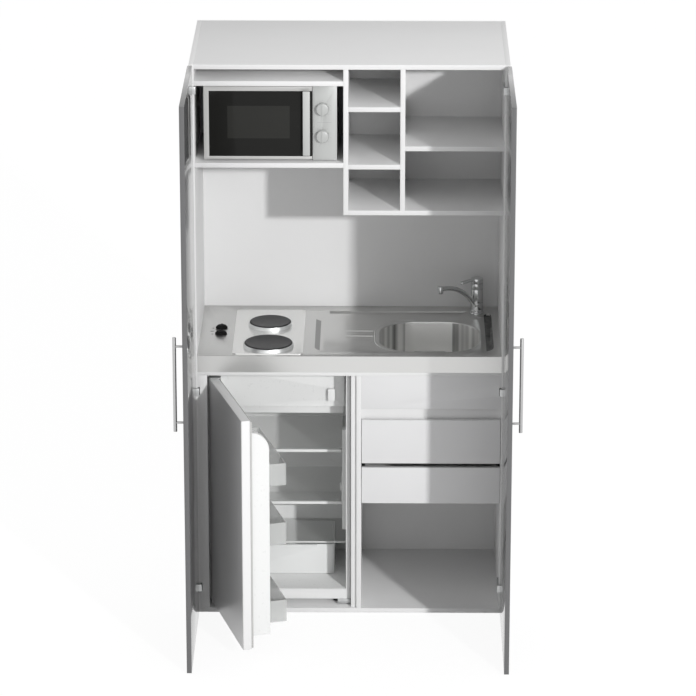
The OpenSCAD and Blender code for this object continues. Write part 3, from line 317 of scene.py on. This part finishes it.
def gloss_melamine(name, base):
    """High-gloss board with a clear coat and faint wiping marks"""
    shader = Shader(name, base, 0.18, {"Coat Weight": 0.6, "Coat Roughness": 0.05})
    shader.tint(spread=0.03, scale=5.0, stretch=(1.0, 1.0, 0.3))
    shader.wander(spread=0.02, scale=14.0, stretch=(1.0, 1.0, 0.4))
    shader.bump(shader.noise(260.0), distance=0.03 * MM, strength=0.25)
    return shader.material


def brushed_steel(name, base, stretch, roughness=0.3):
    """Steel brushed along one axis, which is the short one of the stretch"""
    shader = Shader(name, base, roughness, {"Metallic": 1.0})
    shader.tint(spread=0.07, scale=900.0, stretch=stretch)
    shader.wander(spread=0.07, scale=1400.0, stretch=stretch)
    shader.bump(shader.noise(2000.0, stretch=stretch), distance=0.01 * MM, strength=0.5)
    return shader.material


def pressed_steel(name, base, parts):
    """Satin stainless sheet with a fine linen grain. The hob panel is brighter, the bowl has
    painted light, the ends of the bowl have painted streaky shade, and the slopes at the field's
    ends have painted shade"""
    shader = Shader(name, base, 0.28, {"Metallic": 0.9})
    x, y, z = (shader.axis(letter) for letter in "XYZ")

    def within(part):
        low, high = parts[part]
        return inside(x, low.x, high.x) * inside(y, low.y, high.y) * inside(z, low.z, high.z)

    along = shader.noise(2400.0, 1.0, (0.1, 1.0, 1.0))
    across = shader.noise(2400.0, 1.0, (1.0, 0.1, 1.0))
    grain = along + across
    on_panel, in_bowl = within("panel"), within("bowl")
    ends = in_bowl - within("bowl_middle")
    # Painted shade: dark streaks across the two ends of the bowl
    shade_streaks = (shader.noise(38.0, 1.0, (1.0, 0.0, 0.0)) - 0.40) * 4.0
    shade_mottle = shader.noise(60.0, 4.0, (1.0, 0.6, 1.0))
    # Painted shade on the slopes at the field's ends: grey on the left, near black and mottled on
    # the right
    left_slope_shade, right_slope_shade = (0.12, 0.12, 0.12), (0.03, 0.03, 0.03)
    shade = shader.mix(on_panel, shader.uneven(base, 0.012, 4.0), toned(base, 1.3))
    # Painted light: the bowl is toned lighter than the sheet round it
    shade = shader.mix(in_bowl, shade, toned(base, 1.45))
    # Painted shade on the ends of the bowl
    shade = shader.mix(ends * shade_streaks, shade, toned(base, 0.3))
    # Painted shade, mottled, on the right slope
    shade = shader.mix(within("right_slope_shade") * (1.25 - shade_mottle * 0.8), shade, right_slope_shade)
    # Painted shade on the left slope
    shade = shader.mix(within("left_slope_shade") * 0.7, shade, left_slope_shade)
    shader.set("Base Color", shade)
    shader.set("Roughness", grain * 0.04 + 0.25 - on_panel * 0.08 + in_bowl * 0.12)
    shader.bump(grain, distance=0.004 * MM, strength=0.3)
    return shader.material


def plated(name, base, roughness=0.1, metallic=1.0):
    """Plated metal with faint water marks"""
    shader = Shader(name, base, roughness, {"Metallic": metallic})
    shader.tint(spread=0.02, scale=60.0)
    shader.wander(spread=0.02, scale=90.0)
    return shader.material


def cast_iron(name, base, plates):
    """Turned cast iron: fine rings round each of two plates' own centre, and a darker rim"""
    shader = Shader(name, base, 0.52)
    x, y = shader.axis("X"), shader.axis("Y")
    rim_from = 0.95
    ring_phase = 180.0  # radians from the centre to the rim

    def outwards(centre, radius):
        """Share of the way from a plate's centre to its rim"""
        right, back = x - centre.x, y - centre.y
        return (right * right + back * back).root() / radius

    front, rear = plates
    share = outwards(*front).least(outwards(*rear))
    shader.set("Base Color", shader.mix(share > rim_from, shader.uneven(base, 0.12, 30.0),
                                        toned(base, 0.25)))
    shader.wander(spread=0.06, scale=55.0)
    rings = (share * ring_phase).sine()
    shader.bump(rings * 0.4 + shader.noise(800.0), distance=0.05 * MM, strength=0.4)
    return shader.material


def metallic_paint(name, base):
    """Silver paint with fine flakes under a thin clear coat"""
    shader = Shader(name, base, 0.38,
                    {"Metallic": 0.1, "Coat Weight": 0.2, "Coat Roughness": 0.2})
    shader.tint(spread=0.04, scale=1800.0)
    shader.wander(spread=0.05, scale=700.0)
    shader.bump(shader.noise(1200.0), distance=0.01 * MM, strength=0.3)
    return shader.material


def moulded(name, base, roughness=0.35, grain=900.0, depth=0.006, specular=0.5):
    """Moulded plastic, or a coating, with a fine even grain whose depth is in millimetres"""
    shader = Shader(name, base, roughness, {"Specular IOR Level": specular})
    shader.tint(spread=0.006, scale=5.0)
    shader.wander(spread=0.02, scale=80.0)
    shader.bump(shader.noise(grain, 1.0), distance=depth * MM, strength=0.4)
    return shader.material


def printed_glass(name, base, window):
    """Door glass printed black, with a fine screen of dots over the window"""
    shader = Shader(name, base, 0.08, {"Specular IOR Level": 0.15})
    x, z = shader.axis("X"), shader.axis("Z")
    low, high = window
    mask = inside(x, low.x, high.x) * inside(z, low.z, high.z)
    screen_pitch = 1.6 * MM
    dot_from = 0.25  # height of the waves at which a dot begins
    turn = 2 * math.pi / screen_pitch
    dots = (x * turn).sine() * (z * turn).sine() > dot_from
    screen = mask * (dots * 0.5 + 0.5)
    shader.set("Base Color", shader.mix(screen, base, toned(base, 2.8)))
    shader.wander(spread=0.02, scale=20.0)
    return shader.material


def clear_plastic(name, base, alpha, roughness=0.12, trim_y=None):
    """Clear moulding that shows a little of its own tint, with a solid white trim before trim_y"""
    shader = Shader(name, base, roughness, {"IOR": 1.5, "Specular IOR Level": 0.6})
    trim = (0.85, 0.86, 0.85)
    haze = 0.02
    shade = shader.uneven(base, 0.03, 10.0)
    cover = shader.noise(8.0) * (2 * haze) + (alpha - haze)
    if trim_y is not None:
        on_trim = shader.axis("Y") < trim_y
        shade = shader.mix(on_trim, shade, trim)
        cover = cover + on_trim * (1.0 - alpha)
    shader.set("Base Color", shade)
    shader.set("Alpha", cover)
    shader.bump(shader.noise(120.0), distance=0.01 * MM, strength=0.2)
    return shader.material


def seal_rubber(name, base):
    """Soft seal with fine ribs that follow one another from front to back"""
    shader = Shader(name, base, 0.7)
    rib_pitch = 1.5 * MM
    shader.tint(spread=0.04, scale=30.0)
    ribs = (shader.axis("Y") * (2 * math.pi / rib_pitch)).sine()
    shader.bump(ribs * 0.5 + shader.noise(400.0), distance=0.1 * MM, strength=0.4)
    return shader.material


def hotplate_circles():
    """Middle and radius of the front and the rear hotplate"""
    low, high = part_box("hotplates")
    front_r, rear_r = 80 * MM, 70 * MM
    x = (low.x + high.x) / 2
    return (Vector((x, low.y + front_r)), front_r), (Vector((x, high.y - rear_r)), rear_r)


def steel_parts():
    """Boxes round the parts of the steel top that look different: the hob panel, and the bowl and
    slopes on which light and shade are painted
    """
    low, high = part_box("sink_top")

    def part(right, back, down):
        """Box from spans in millimetres, right of and behind the top's front left corner, and
        down from its highest face"""
        return (Vector((low.x + right[0] * MM, low.y + back[0] * MM, high.z - down[1] * MM)),
                Vector((low.x + right[1] * MM, low.y + back[1] * MM, high.z - down[0] * MM)))

    bowl_back, bowl_down, slope_down = (71, 395), (14, 200), (4.2, 10.4)
    return {"panel": part((114, 350), (15, 492), (-1, 60)),
            "bowl": part((604, 938), bowl_back, bowl_down),
            "bowl_middle": part((690, 850), bowl_back, bowl_down),
            "left_slope_shade": part((385, 404), (60, 400), slope_down),
            "right_slope_shade": part((959, 986), (62, 462), slope_down)}


def window_box():
    """Corners of the window in the microwave's door"""
    low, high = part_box("microwave_door")
    left, right, below, above = 77 * MM, 73 * MM, 72 * MM, 67 * MM
    return (Vector((low.x + left, low.y, low.z + below)),
            Vector((high.x - right, low.y, high.z - above)))


def make_finishes(paints):
    """One material for each slot of the record"""
    shelf_trim_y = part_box("fridge_shelves")[0].y + 14 * MM
    return {
        "board_white": melamine("white_melamine", paints.board),
        "door_grey": gloss_melamine("grey_gloss_melamine", paints.door),
        "front_grey": melamine("drawer_melamine", paints.front, roughness=0.36),
        "bar_steel": brushed_steel("brushed_bar", paints.bar, (1.0, 1.0, 0.04)),
        "hinge_steel": plated("nickel_plate", toned(paints.chrome, 0.85), 0.35, metallic=0.8),
        "top_steel": pressed_steel("pressed_stainless", paints.steel, steel_parts()),
        "strainer_steel": brushed_steel("strainer_stainless", paints.steel, (1.0, 0.2, 1.0)),
        "trap_plastic": moulded("white_polypropylene", (0.80, 0.80, 0.79), 0.4),
        "plate_iron": cast_iron("cast_iron", paints.iron, hotplate_circles()),
        "ring_steel": plated("bright_ring", toned(paints.chrome, 1.3), 0.34, metallic=0.8),
        "tray_steel": brushed_steel("aluminised_sheet", (0.5, 0.5, 0.5), (0.1, 1.0, 1.0), 0.4),
        "knob_black": moulded("black_knob", paints.knob, 0.5, grain=700.0, specular=0.03),
        "tap_chrome": plated("tap_chrome", toned(paints.chrome, 0.9), 0.18),
        "oven_silver": metallic_paint("silver_paint", paints.oven),
        "oven_inside": moulded("grey_enamel", (0.32, 0.32, 0.31), 0.3),
        "oven_panel": metallic_paint("silver_plastic", paints.panel),
        "oven_glass": printed_glass("printed_glass", paints.glass, window_box()),
        "oven_knob": metallic_paint("knob_plastic", toned(paints.panel, 0.95)),
        "table_glass": clear_plastic("turntable_glass", (0.75, 0.80, 0.79), 0.35, 0.05),
        "unit_metal": brushed_steel("plain_metal", (0.4, 0.4, 0.41), (1.0, 0.2, 1.0), 0.45),
        "fridge_white": moulded("coated_steel", paints.skin, 0.3, grain=350.0, depth=0.02),
        "liner_white": moulded("polystyrene", paints.liner, 0.28),
        "shelf_glass": clear_plastic("shelf_glass", (0.79, 0.80, 0.79), 0.20, 0.04,
                                     trim_y=shelf_trim_y),
        "crisper_clear": clear_plastic("crisper_plastic", paints.crisper, 0.86, 0.2),
        "bin_clear": clear_plastic("bin_plastic", paints.clear, 0.45, 0.14),
        "cooling_black": moulded("black_lacquer", (0.02, 0.02, 0.02), 0.4),
        "gasket_grey": seal_rubber("soft_seal", paints.rubber),
        "foot_plastic": moulded("black_foot", (0.03, 0.03, 0.03), 0.5),
    }


# Filled by main, once the settings are registered
finishes = {}


# ---------------------------------------------------------------- modelling helpers


def pick(*pieces):
    """Selects only these objects, with the last one active"""
    bpy.ops.object.select_all(action="DESELECT")
    for piece in pieces:
        piece.select_set(True)
        bpy.context.view_layer.objects.active = piece


def body_of(node):
    """The body on which a CAD node rides"""
    return frame["nodes"][node]["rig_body"]


def settle(piece, name, body, slot, replaced=()):
    """Applies the place, names the piece, gives it the finish of its slot and ties it to its body
    """
    pick(piece)
    bpy.ops.object.transform_apply(location=True, rotation=True, scale=True)
    bpy.ops.object.shade_smooth_by_angle(angle=SMOOTH_TURN)
    piece.name = name
    piece.data.name = name
    piece.data.materials.clear()
    piece.data.materials.append(finishes[slot])
    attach(piece, body)
    if replaced:
        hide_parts(*replaced)
    return piece


def merged_copy(node):
    """Copy of a CAD node's mesh with its triangles joined into whole faces"""
    source = frame["nodes"][node]
    piece = source.copy()
    piece.data = source.data.copy()
    piece.parent = None
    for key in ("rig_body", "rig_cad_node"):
        del piece[key]
    bpy.context.scene.collection.objects.link(piece)
    pick(piece)
    if piece.data.has_custom_normals:
        bpy.ops.mesh.customdata_custom_splitnormals_clear()
    bpy.ops.object.mode_set(mode="EDIT")
    bpy.ops.mesh.select_all(action="SELECT")
    bpy.ops.mesh.remove_doubles(threshold=MERGE)
    bpy.ops.mesh.dissolve_limited(angle_limit=FLAT_TURN)
    bpy.ops.object.mode_set(mode="OBJECT")
    return piece


def round_all(piece, width, segments=2):
    """Rounds every edge that turns clearly"""
    clear_turn = math.radians(38)
    pick(piece)
    bevel = piece.modifiers.new("round", "BEVEL")
    bevel.width = width
    bevel.segments = segments
    bevel.limit_method = "ANGLE"
    bevel.angle_limit = clear_turn
    bpy.ops.object.modifier_apply(modifier=bevel.name)


def choose_edges(piece, test):
    """Selects in edit mode the edges whose two ends and turn pass a test"""
    pick(piece)
    bpy.ops.object.mode_set(mode="EDIT")
    bpy.ops.mesh.select_mode(type="EDGE")
    bpy.ops.mesh.select_all(action="DESELECT")
    mesh = bmesh.from_edit_mesh(piece.data)
    for edge in mesh.edges:
        if edge.calc_face_angle(0.0) > SHARP_TURN and test(*(v.co for v in edge.verts)):
            edge.select_set(True)
    bmesh.update_edit_mesh(piece.data)


def round_some(piece, width, segments, test):
    """Rounds only the edges that pass a test"""
    choose_edges(piece, test)
    bpy.ops.mesh.bevel(offset=width, segments=segments, affect="EDGES", clamp_overlap=True)
    bpy.ops.object.mode_set(mode="OBJECT")


def dressed(node, width, segments=2):
    """Stands a copy with rounded edges in the place of a CAD node"""
    piece = merged_copy(node)
    round_all(piece, width, segments)
    return settle(piece, node + "_finished", body_of(node), SLOTS[node], [node])


def bare(node):
    """Gives a CAD node that keeps its own mesh its finish"""
    keep = frame["nodes"][node]
    keep.data.materials.clear()
    keep.data.materials.append(finishes[SLOTS[node]])


def box_between(low, high):
    """Box that the caller shapes further"""
    middle = (Vector(low) + Vector(high)) / 2
    bpy.ops.mesh.primitive_cube_add(size=1.0, location=middle)
    piece = bpy.context.object
    piece.scale = Vector(high) - Vector(low)
    bpy.ops.object.transform_apply(location=True, rotation=True, scale=True)
    return piece


def bent_rod(name, points, radius, body, slot):
    """Round rod with closed ends along a line of points"""
    line = bpy.data.curves.new(name, "CURVE")
    line.dimensions = "3D"
    line.bevel_depth = radius
    line.bevel_resolution = 3
    line.use_fill_caps = True
    spline = line.splines.new("POLY")
    spline.points.add(len(points) - 1)
    for point, place in zip(spline.points, points):
        point.co = (*place, 1.0)
    rod = bpy.data.objects.new(name, line)
    bpy.context.scene.collection.objects.link(rod)
    pick(rod)
    bpy.ops.object.convert(target="MESH")
    return settle(bpy.context.object, name, body, slot)


# ---------------------------------------------------------------- cabinet


class KITCHENETTE_OT_boards(bpy.types.Operator):
    """Cabinet boards, rails and strips with eased edges"""

    bl_idname = "kitchenette.boards"
    bl_label = "Cabinet boards"

    boards = ("side_panel_left", "side_panel_right", "top_panel", "base_panel", "back_panel",
              "shelves", "upper_dividers", "inner_back_panels", "lower_divider", "cross_rails",
              "sink_fascia", "filler_strips")

    def execute(self, context):
        edge = context.scene.kitchenette_sizes.board_edge
        for node in self.boards:
            dressed(node, edge)
        bare("levelling_feet")
        return {"FINISHED"}


class KITCHENETTE_OT_drawers(bpy.types.Operator):
    """Drawer fronts, boxes and their runners"""

    bl_idname = "kitchenette.drawers"
    bl_label = "Drawers"

    def execute(self, context):
        edge = context.scene.kitchenette_sizes.board_edge
        front_edge = edge * 1.6
        for level in ("upper", "lower"):
            dressed("drawer_front_" + level, front_edge, 3)
        for level in ("upper", "lower"):
            dressed("drawer_box_" + level, edge)
        bare("drawer_runners")
        return {"FINISHED"}


class KITCHENETTE_OT_outer_doors(bpy.types.Operator):
    """The two high-gloss outer doors with their bar handles and hinges"""

    bl_idname = "kitchenette.outer_doors"
    bl_label = "Outer doors"

    def execute(self, context):
        sizes = context.scene.kitchenette_sizes
        bar_edge, cup_edge = sizes.metal_edge * 2.4, sizes.metal_edge * 0.6
        for side in ("left", "right"):
            dressed("outer_door_" + side, sizes.board_edge)
            dressed("door_handle_" + side, bar_edge, 3)
            dressed("hinge_cups_" + side, cup_edge)
        dressed("hinge_arms", sizes.metal_edge)
        return {"FINISHED"}


# ---------------------------------------------------------------- steel top


HOB_RISE = 4 * MM  # hob panel above the deck
FIELD_DROP = 6 * MM  # pressed field below the deck
SHEET = 1.5 * MM  # thickness of the steel


def deck_z():
    """Height of the steel top's deck, above which only the hob panel rises"""
    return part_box("sink_top")[1].z - HOB_RISE


class KITCHENETTE_OT_steel_top(bpy.types.Operator):
    """Pressed steel top with its field, bowl, hob panel and pressed beads"""

    bl_idname = "kitchenette.steel_top"
    bl_label = "Steel top"

    bowl_reach = Vector((168 * MM, 163 * MM))  # from the bowl's middle to just past its walls
    waste_reach = 50 * MM  # from the bowl's middle to just past the hole of the strainer
    corner_r = 48 * MM  # round corners of the field
    ledge_r = 36 * MM  # ledge round the tap, with the field's wall along it
    upright_reach = 60 * MM  # in front of the tap, where the wall on its right starts to slope
    steepness = 0.7  # the long sides slope over this share of the width at the ends

    def execute(self, context):
        sizes = context.scene.kitchenette_sizes
        panel_edge = sizes.pressed_edge * 0.6
        low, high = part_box("sink_top")
        deck = deck_z()
        floor = deck - FIELD_DROP
        bowl_floor = low.z + SHEET
        piece = merged_copy("sink_top")
        middle = sum(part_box("sink_strainer"), Vector()) / 2
        tap = sum(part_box("tap_body"), Vector()) / 2

        def near_bowl(place):
            away = place - middle
            return abs(away.x) < self.bowl_reach.x and abs(away.y) < self.bowl_reach.y

        def on_level(a, b, level):
            return abs(a.z - level) < TOUCH and abs(b.z - level) < TOUCH

        self.slope_field(piece, floor, near_bowl, tap, sizes.pressed_slope)
        round_some(piece, sizes.bowl_foot, 7, lambda a, b: on_level(a, b, bowl_floor)
                   and near_bowl(a) and (a - middle).xy.length > self.waste_reach)
        round_some(piece, sizes.bowl_rim, 4, lambda a, b: on_level(a, b, floor) and near_bowl(a))
        round_some(piece, sizes.pressed_edge, 3, lambda a, b: on_level(a, b, deck))
        round_some(piece, sizes.pressed_edge, 3, lambda a, b: on_level(a, b, floor)
                   and not near_bowl(a))
        round_some(piece, panel_edge, 3, lambda a, b: on_level(a, b, high.z))
        settle(piece, "sink_top_finished", body_of("sink_top"), "top_steel", ["sink_top"])
        self.add_beads(middle, floor, sizes.bead)
        dressed("sink_strainer", sizes.metal_edge)
        bare("sink_trap")
        return {"FINISHED"}

    def slope_field(self, piece, floor, near_bowl, tap, slope):
        """Draws the foot of the field's wall inwards, so that the wall slopes. It stays upright
        in the corner right of the tap, where the ledge leaves no room"""
        underside = floor - SHEET
        outline = [v.co for v in piece.data.vertices
                   if underside - TOUCH < v.co.z < floor + TOUCH and not near_bowl(v.co)]
        left = min(place.x for place in outline) + self.corner_r
        right = max(place.x for place in outline) - self.corner_r
        front = min(place.y for place in outline) + self.corner_r
        back = max(place.y for place in outline) - self.corner_r
        for place in outline:
            away = (place - tap).xy
            if away.x > 0 and away.y > -self.upright_reach:
                continue
            if away.length < self.ledge_r or (abs(away.x) < self.ledge_r and away.y > 0):
                inward = away if away.y < 0 else Vector((away.x, 0.0))
            else:
                inward = Vector((min(max(place.x, left), right) - place.x,
                                 min(max(place.y, front), back) - place.y))
            if inward.length > TOUCH:
                inward.normalize()
                place.x += inward.x * slope
                place.y += inward.y * slope * self.steepness
        piece.data.update()

    def add_beads(self, middle, floor, radius):
        """Two short beads on the drainer, and one round the left side of the bowl"""
        bead_z = floor - radius * 0.35
        body = body_of("sink_top")
        start, end, lead_in = middle.x - 286 * MM, middle.x - 190 * MM, 6 * MM
        for name, back in (("rear", 57 * MM), ("front", 3 * MM)):
            y = middle.y + back
            bent_rod("drainer_bead_" + name,
                     [(start, y, bead_z - radius), (start + lead_in, y, bead_z),
                      (end, y, bead_z)], radius, body, "top_steel")
        reach = Vector((184 * MM, 178 * MM))
        turn_r = 135 * MM
        steps = 24
        points = []
        for step in range(steps + 1):
            angle = math.pi / 2 + math.pi * step / steps
            shift = (reach.y - turn_r) * (1 if step <= steps / 2 else -1)
            points.append((middle.x - reach.x + turn_r + turn_r * math.cos(angle),
                           middle.y + shift + turn_r * math.sin(angle), bead_z))
        bent_rod("bowl_bead", points, radius, body, "top_steel")


# ---------------------------------------------------------------- hob


class KITCHENETTE_OT_hob(bpy.types.Operator):
    """Hotplates with their rings, the tray below and the two knobs"""

    bl_idname = "kitchenette.hob"
    bl_label = "Hob"

    def execute(self, context):
        edge = context.scene.kitchenette_sizes.metal_edge
        plate_edge, ring_edge, knob_edge = edge * 1.2, edge * 0.6, edge * 1.6
        dressed("hotplates", plate_edge)
        dressed("hotplate_rings", ring_edge)
        bare("hob_tray")
        for node in ("hob_knob_rear", "hob_knob_front"):
            dressed(node, knob_edge, 3)
        self.add_ticks()
        return {"FINISHED"}

    def add_ticks(self):
        """Three printed dashes on the deck, to the left of the knobs"""
        front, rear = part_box("hob_knob_front"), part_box("hob_knob_rear")
        middle = (front[0] + front[1] + rear[0] + rear[1]) / 4
        half_w, sunk, proud, edge = 2 * MM, 0.2 * MM, 0.25 * MM, 0.08 * MM
        for name, right, back, dash_l in (("front", -26, -34.5, 6), ("middle", -26, -5, 10),
                                          ("rear", -25, 28, 6)):
            place = Vector((middle.x + right * MM, middle.y + back * MM, deck_z()))
            tick = box_between(place + Vector((-dash_l * MM, -half_w, -sunk)),
                               place + Vector((0, half_w, proud)))
            round_all(tick, edge, 1)
            settle(tick, "hob_tick_" + name, body_of("sink_top"), "knob_black")


# ---------------------------------------------------------------- tap


class KITCHENETTE_OT_tap(bpy.types.Operator):
    """Single-lever tap"""

    bl_idname = "kitchenette.tap"
    bl_label = "Tap"

    def execute(self, context):
        edge = context.scene.kitchenette_sizes.metal_edge
        for node, share in (("tap_body", 2.0), ("tap_spout", 1.6), ("tap_cartridge", 1.6),
                            ("tap_lever", 3.0)):
            dressed(node, edge * share, 3)
        return {"FINISHED"}


# ---------------------------------------------------------------- microwave oven


class KITCHENETTE_OT_microwave(bpy.types.Operator):
    """Microwave oven with its door, panel, knobs and turntable"""

    bl_idname = "kitchenette.microwave"
    bl_label = "Microwave oven"

    print_proud = 0.15 * MM
    print_sunk = 0.1 * MM
    print_edge = 0.06 * MM

    def execute(self, context):
        sizes = context.scene.kitchenette_sizes
        knob_edge = sizes.metal_edge * 1.8
        for node, width in (("microwave_case", 0.5), ("microwave_cavity", 0.4),
                            ("microwave_panel", 1.2), ("microwave_door", 1.0),
                            ("microwave_window", 0.5), ("microwave_handle", 1.0)):
            dressed(node, width * MM)
        for node in ("microwave_knob_power", "microwave_knob_timer"):
            dressed(node, knob_edge, 3)
            self.add_scale(node)
        dressed("turntable_plate", sizes.metal_edge)
        bare("microwave_power_unit")
        self.add_panel_line()
        return {"FINISHED"}

    def add_scale(self, node):
        """Printed marks round a knob, clockwise from its lower left"""
        low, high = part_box(node)
        face_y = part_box("microwave_panel")[0].y
        middle = Vector(((low.x + high.x) / 2, face_y, (low.z + high.z) / 2))
        reach, mark_l, mark_w = 25 * MM, 4 * MM, 0.8 * MM
        marks, first_deg, sweep_deg = 9, 225, 270
        body = body_of("microwave_panel")
        for step in range(marks):
            angle = math.radians(first_deg - sweep_deg * step / (marks - 1))
            mark = box_between((reach, -self.print_proud, -mark_w / 2),
                               (reach + mark_l, self.print_sunk, mark_w / 2))
            round_all(mark, self.print_edge, 1)
            mark.rotation_euler.y = -angle
            mark.location = middle
            settle(mark, f"{node}_mark_{step + 1}", body, "unit_metal")

    def add_panel_line(self):
        """Fine line between the two knobs"""
        low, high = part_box("microwave_panel")
        left, right, half_w, above_middle = 15 * MM, 17 * MM, 0.5 * MM, 2 * MM
        z = (low.z + high.z) / 2 + above_middle
        line = box_between((low.x + left, low.y - self.print_proud, z - half_w),
                           (high.x - right, low.y + self.print_sunk, z + half_w))
        round_all(line, self.print_edge, 1)
        settle(line, "microwave_panel_line", body_of("microwave_panel"), "unit_metal")


# ---------------------------------------------------------------- refrigerator


class KITCHENETTE_OT_fridge(bpy.types.Operator):
    """Refrigerator case, liner, freezing compartment, shelves and crisper"""

    bl_idname = "kitchenette.fridge"
    bl_label = "Refrigerator"

    def execute(self, context):
        sizes = context.scene.kitchenette_sizes
        for node, width in (("fridge_case", 2.0), ("fridge_liner", 0.8), ("fridge_ice_box", 0.8),
                            ("fridge_flap", 1.6), ("fridge_shelves", 0.6),
                            ("crisper_drawer", 0.8), ("thermostat_dial", 0.8)):
            dressed(node, width * MM)
        dressed("fridge_hinges", sizes.metal_edge)
        bare("fridge_cooling_unit")
        return {"FINISHED"}


class KITCHENETTE_OT_fridge_door(bpy.types.Operator):
    """Refrigerator door with its liner, seal and bins"""

    bl_idname = "kitchenette.fridge_door"
    bl_label = "Refrigerator door"

    def execute(self, context):
        for node, width in (("fridge_door_shell", 1.6), ("fridge_door_liner", 3.0),
                            ("fridge_door_gasket", 1.0), ("fridge_door_bins", 0.8)):
            dressed(node, width * MM, 3)
        return {"FINISHED"}


# ---------------------------------------------------------------- studio


class KITCHENETTE_OT_stage(bpy.types.Operator):
    """Floor, key lamp, surroundings and the camera"""

    bl_idname = "kitchenette.stage"
    bl_label = "Studio"

    def execute(self, context):
        self.add_floor()
        self.add_key(context.scene.kitchenette_studio)
        self.fill_world(context.scene.kitchenette_studio)
        self.add_camera(context.scene)
        context.scene.view_settings.view_transform = "Standard"
        return {"FINISHED"}

    def seen(self, tree):
        """Mask that is one for rays that show the background"""
        camera, glossy, through = (
            tree.node("ShaderNodeLightPath", output=name)
            for name in ("Is Camera Ray", "Is Glossy Ray", "Is Transmission Ray"))
        return camera.most(glossy).most(through)

    def add_floor(self):
        """Pale floor that shows nearly white and keeps the object's shadow"""
        side = 120.0
        bpy.ops.mesh.primitive_plane_add(size=side, location=(0, 0, 0))
        floor = bpy.context.object
        floor.name = "studio_floor"
        shader = Shader("studio_floor", (0.86, 0.86, 0.86), 0.9)
        glow_share, glow = 0.86, 1.07
        emission = shader.node("ShaderNodeEmission", values={"Strength": glow})
        mixed = shader.node("ShaderNodeMixShader", values={
            0: self.seen(shader) * glow_share,
            1: Value(shader, shader.surface.outputs[0]), 2: emission})
        shader.feed(shader.nodes["Material Output"].inputs["Surface"], mixed)
        floor.data.materials.append(shader.material)

    def add_key(self, studio):
        """Square soft box in front, to the right"""
        aim = Vector((0, -0.3, 0.9))
        toward = Vector((math.sin(studio.key_azimuth) * math.cos(studio.key_height),
                         -math.cos(studio.key_azimuth) * math.cos(studio.key_height),
                         math.sin(studio.key_height)))
        lamp = bpy.data.lights.new("key", "AREA")
        lamp.size = studio.key_size
        # A lamp of level * pi^2 * distance^2 watts lights a white card that far off to the level
        lamp.energy = studio.key_level * math.pi ** 2 * studio.key_distance ** 2
        holder = bpy.data.objects.new("key", lamp)
        holder.location = aim + toward * studio.key_distance
        holder.rotation_euler = toward.to_track_quat("Z", "Y").to_euler()
        bpy.context.scene.collection.objects.link(holder)

    def fill_world(self, studio):
        """Even light from all round, in front of a white background"""
        world = bpy.data.worlds.new("studio")
        world.use_nodes = True
        bpy.context.scene.world = world
        tree = Tree(world.node_tree)
        background = tree.nodes["Background"]
        background.inputs["Color"].default_value = (1.0, 1.0, 1.0, 1.0)
        tree.feed(background.inputs["Strength"],
                  self.seen(tree) * (1.0 - studio.fill_level) + studio.fill_level)

    def add_camera(self, scene):
        """Long lens in front of the cabinet, a little above it"""
        lens_mm, sensor_mm = 198.03, 36.0
        place = Vector((0.11986, -12.3099, 4.94343))
        pitch_down, turn_left = 0.321289, 0.010385
        view = bpy.data.cameras.new("camera")
        view.sensor_width = sensor_mm
        view.lens = lens_mm
        view.clip_end = 200.0
        camera = bpy.data.objects.new("camera", view)
        camera.location = place
        camera.rotation_euler = (math.pi / 2 - pitch_down, 0.0, turn_left)
        scene.collection.objects.link(camera)
        scene.camera = camera


# ---------------------------------------------------------------- panel and main


MAKERS = (KITCHENETTE_OT_stage, KITCHENETTE_OT_boards, KITCHENETTE_OT_drawers,
          KITCHENETTE_OT_outer_doors, KITCHENETTE_OT_steel_top, KITCHENETTE_OT_hob,
          KITCHENETTE_OT_tap, KITCHENETTE_OT_microwave, KITCHENETTE_OT_fridge,
          KITCHENETTE_OT_fridge_door)


class KITCHENETTE_PT_makers(bpy.types.Panel):
    """Lists what the add-on makes"""

    bl_label = "Kitchenette"
    bl_space_type = "VIEW_3D"
    bl_region_type = "UI"
    bl_category = "Kitchenette"

    def draw(self, context):
        for maker in MAKERS:
            self.layout.operator(maker.bl_idname)


SETTINGS = {"kitchenette_colours": KitchenetteColours, "kitchenette_sizes": KitchenetteSizes,
            "kitchenette_studio": KitchenetteStudio}
CLASSES = (*SETTINGS.values(), *MAKERS, KITCHENETTE_PT_makers)


def register():
    for made in CLASSES:
        bpy.utils.register_class(made)
    for name, group in SETTINGS.items():
        setattr(bpy.types.Scene, name, PointerProperty(type=group))


def unregister():
    for name in SETTINGS:
        delattr(bpy.types.Scene, name)
    for made in reversed(CLASSES):
        bpy.utils.unregister_class(made)


def main():
    register()
    finishes.update(make_finishes(bpy.context.scene.kitchenette_colours))
    for maker in MAKERS:
        group, name = maker.bl_idname.split(".")
        getattr(getattr(bpy.ops, group), name)()


if __name__ == "__main__":
    main()
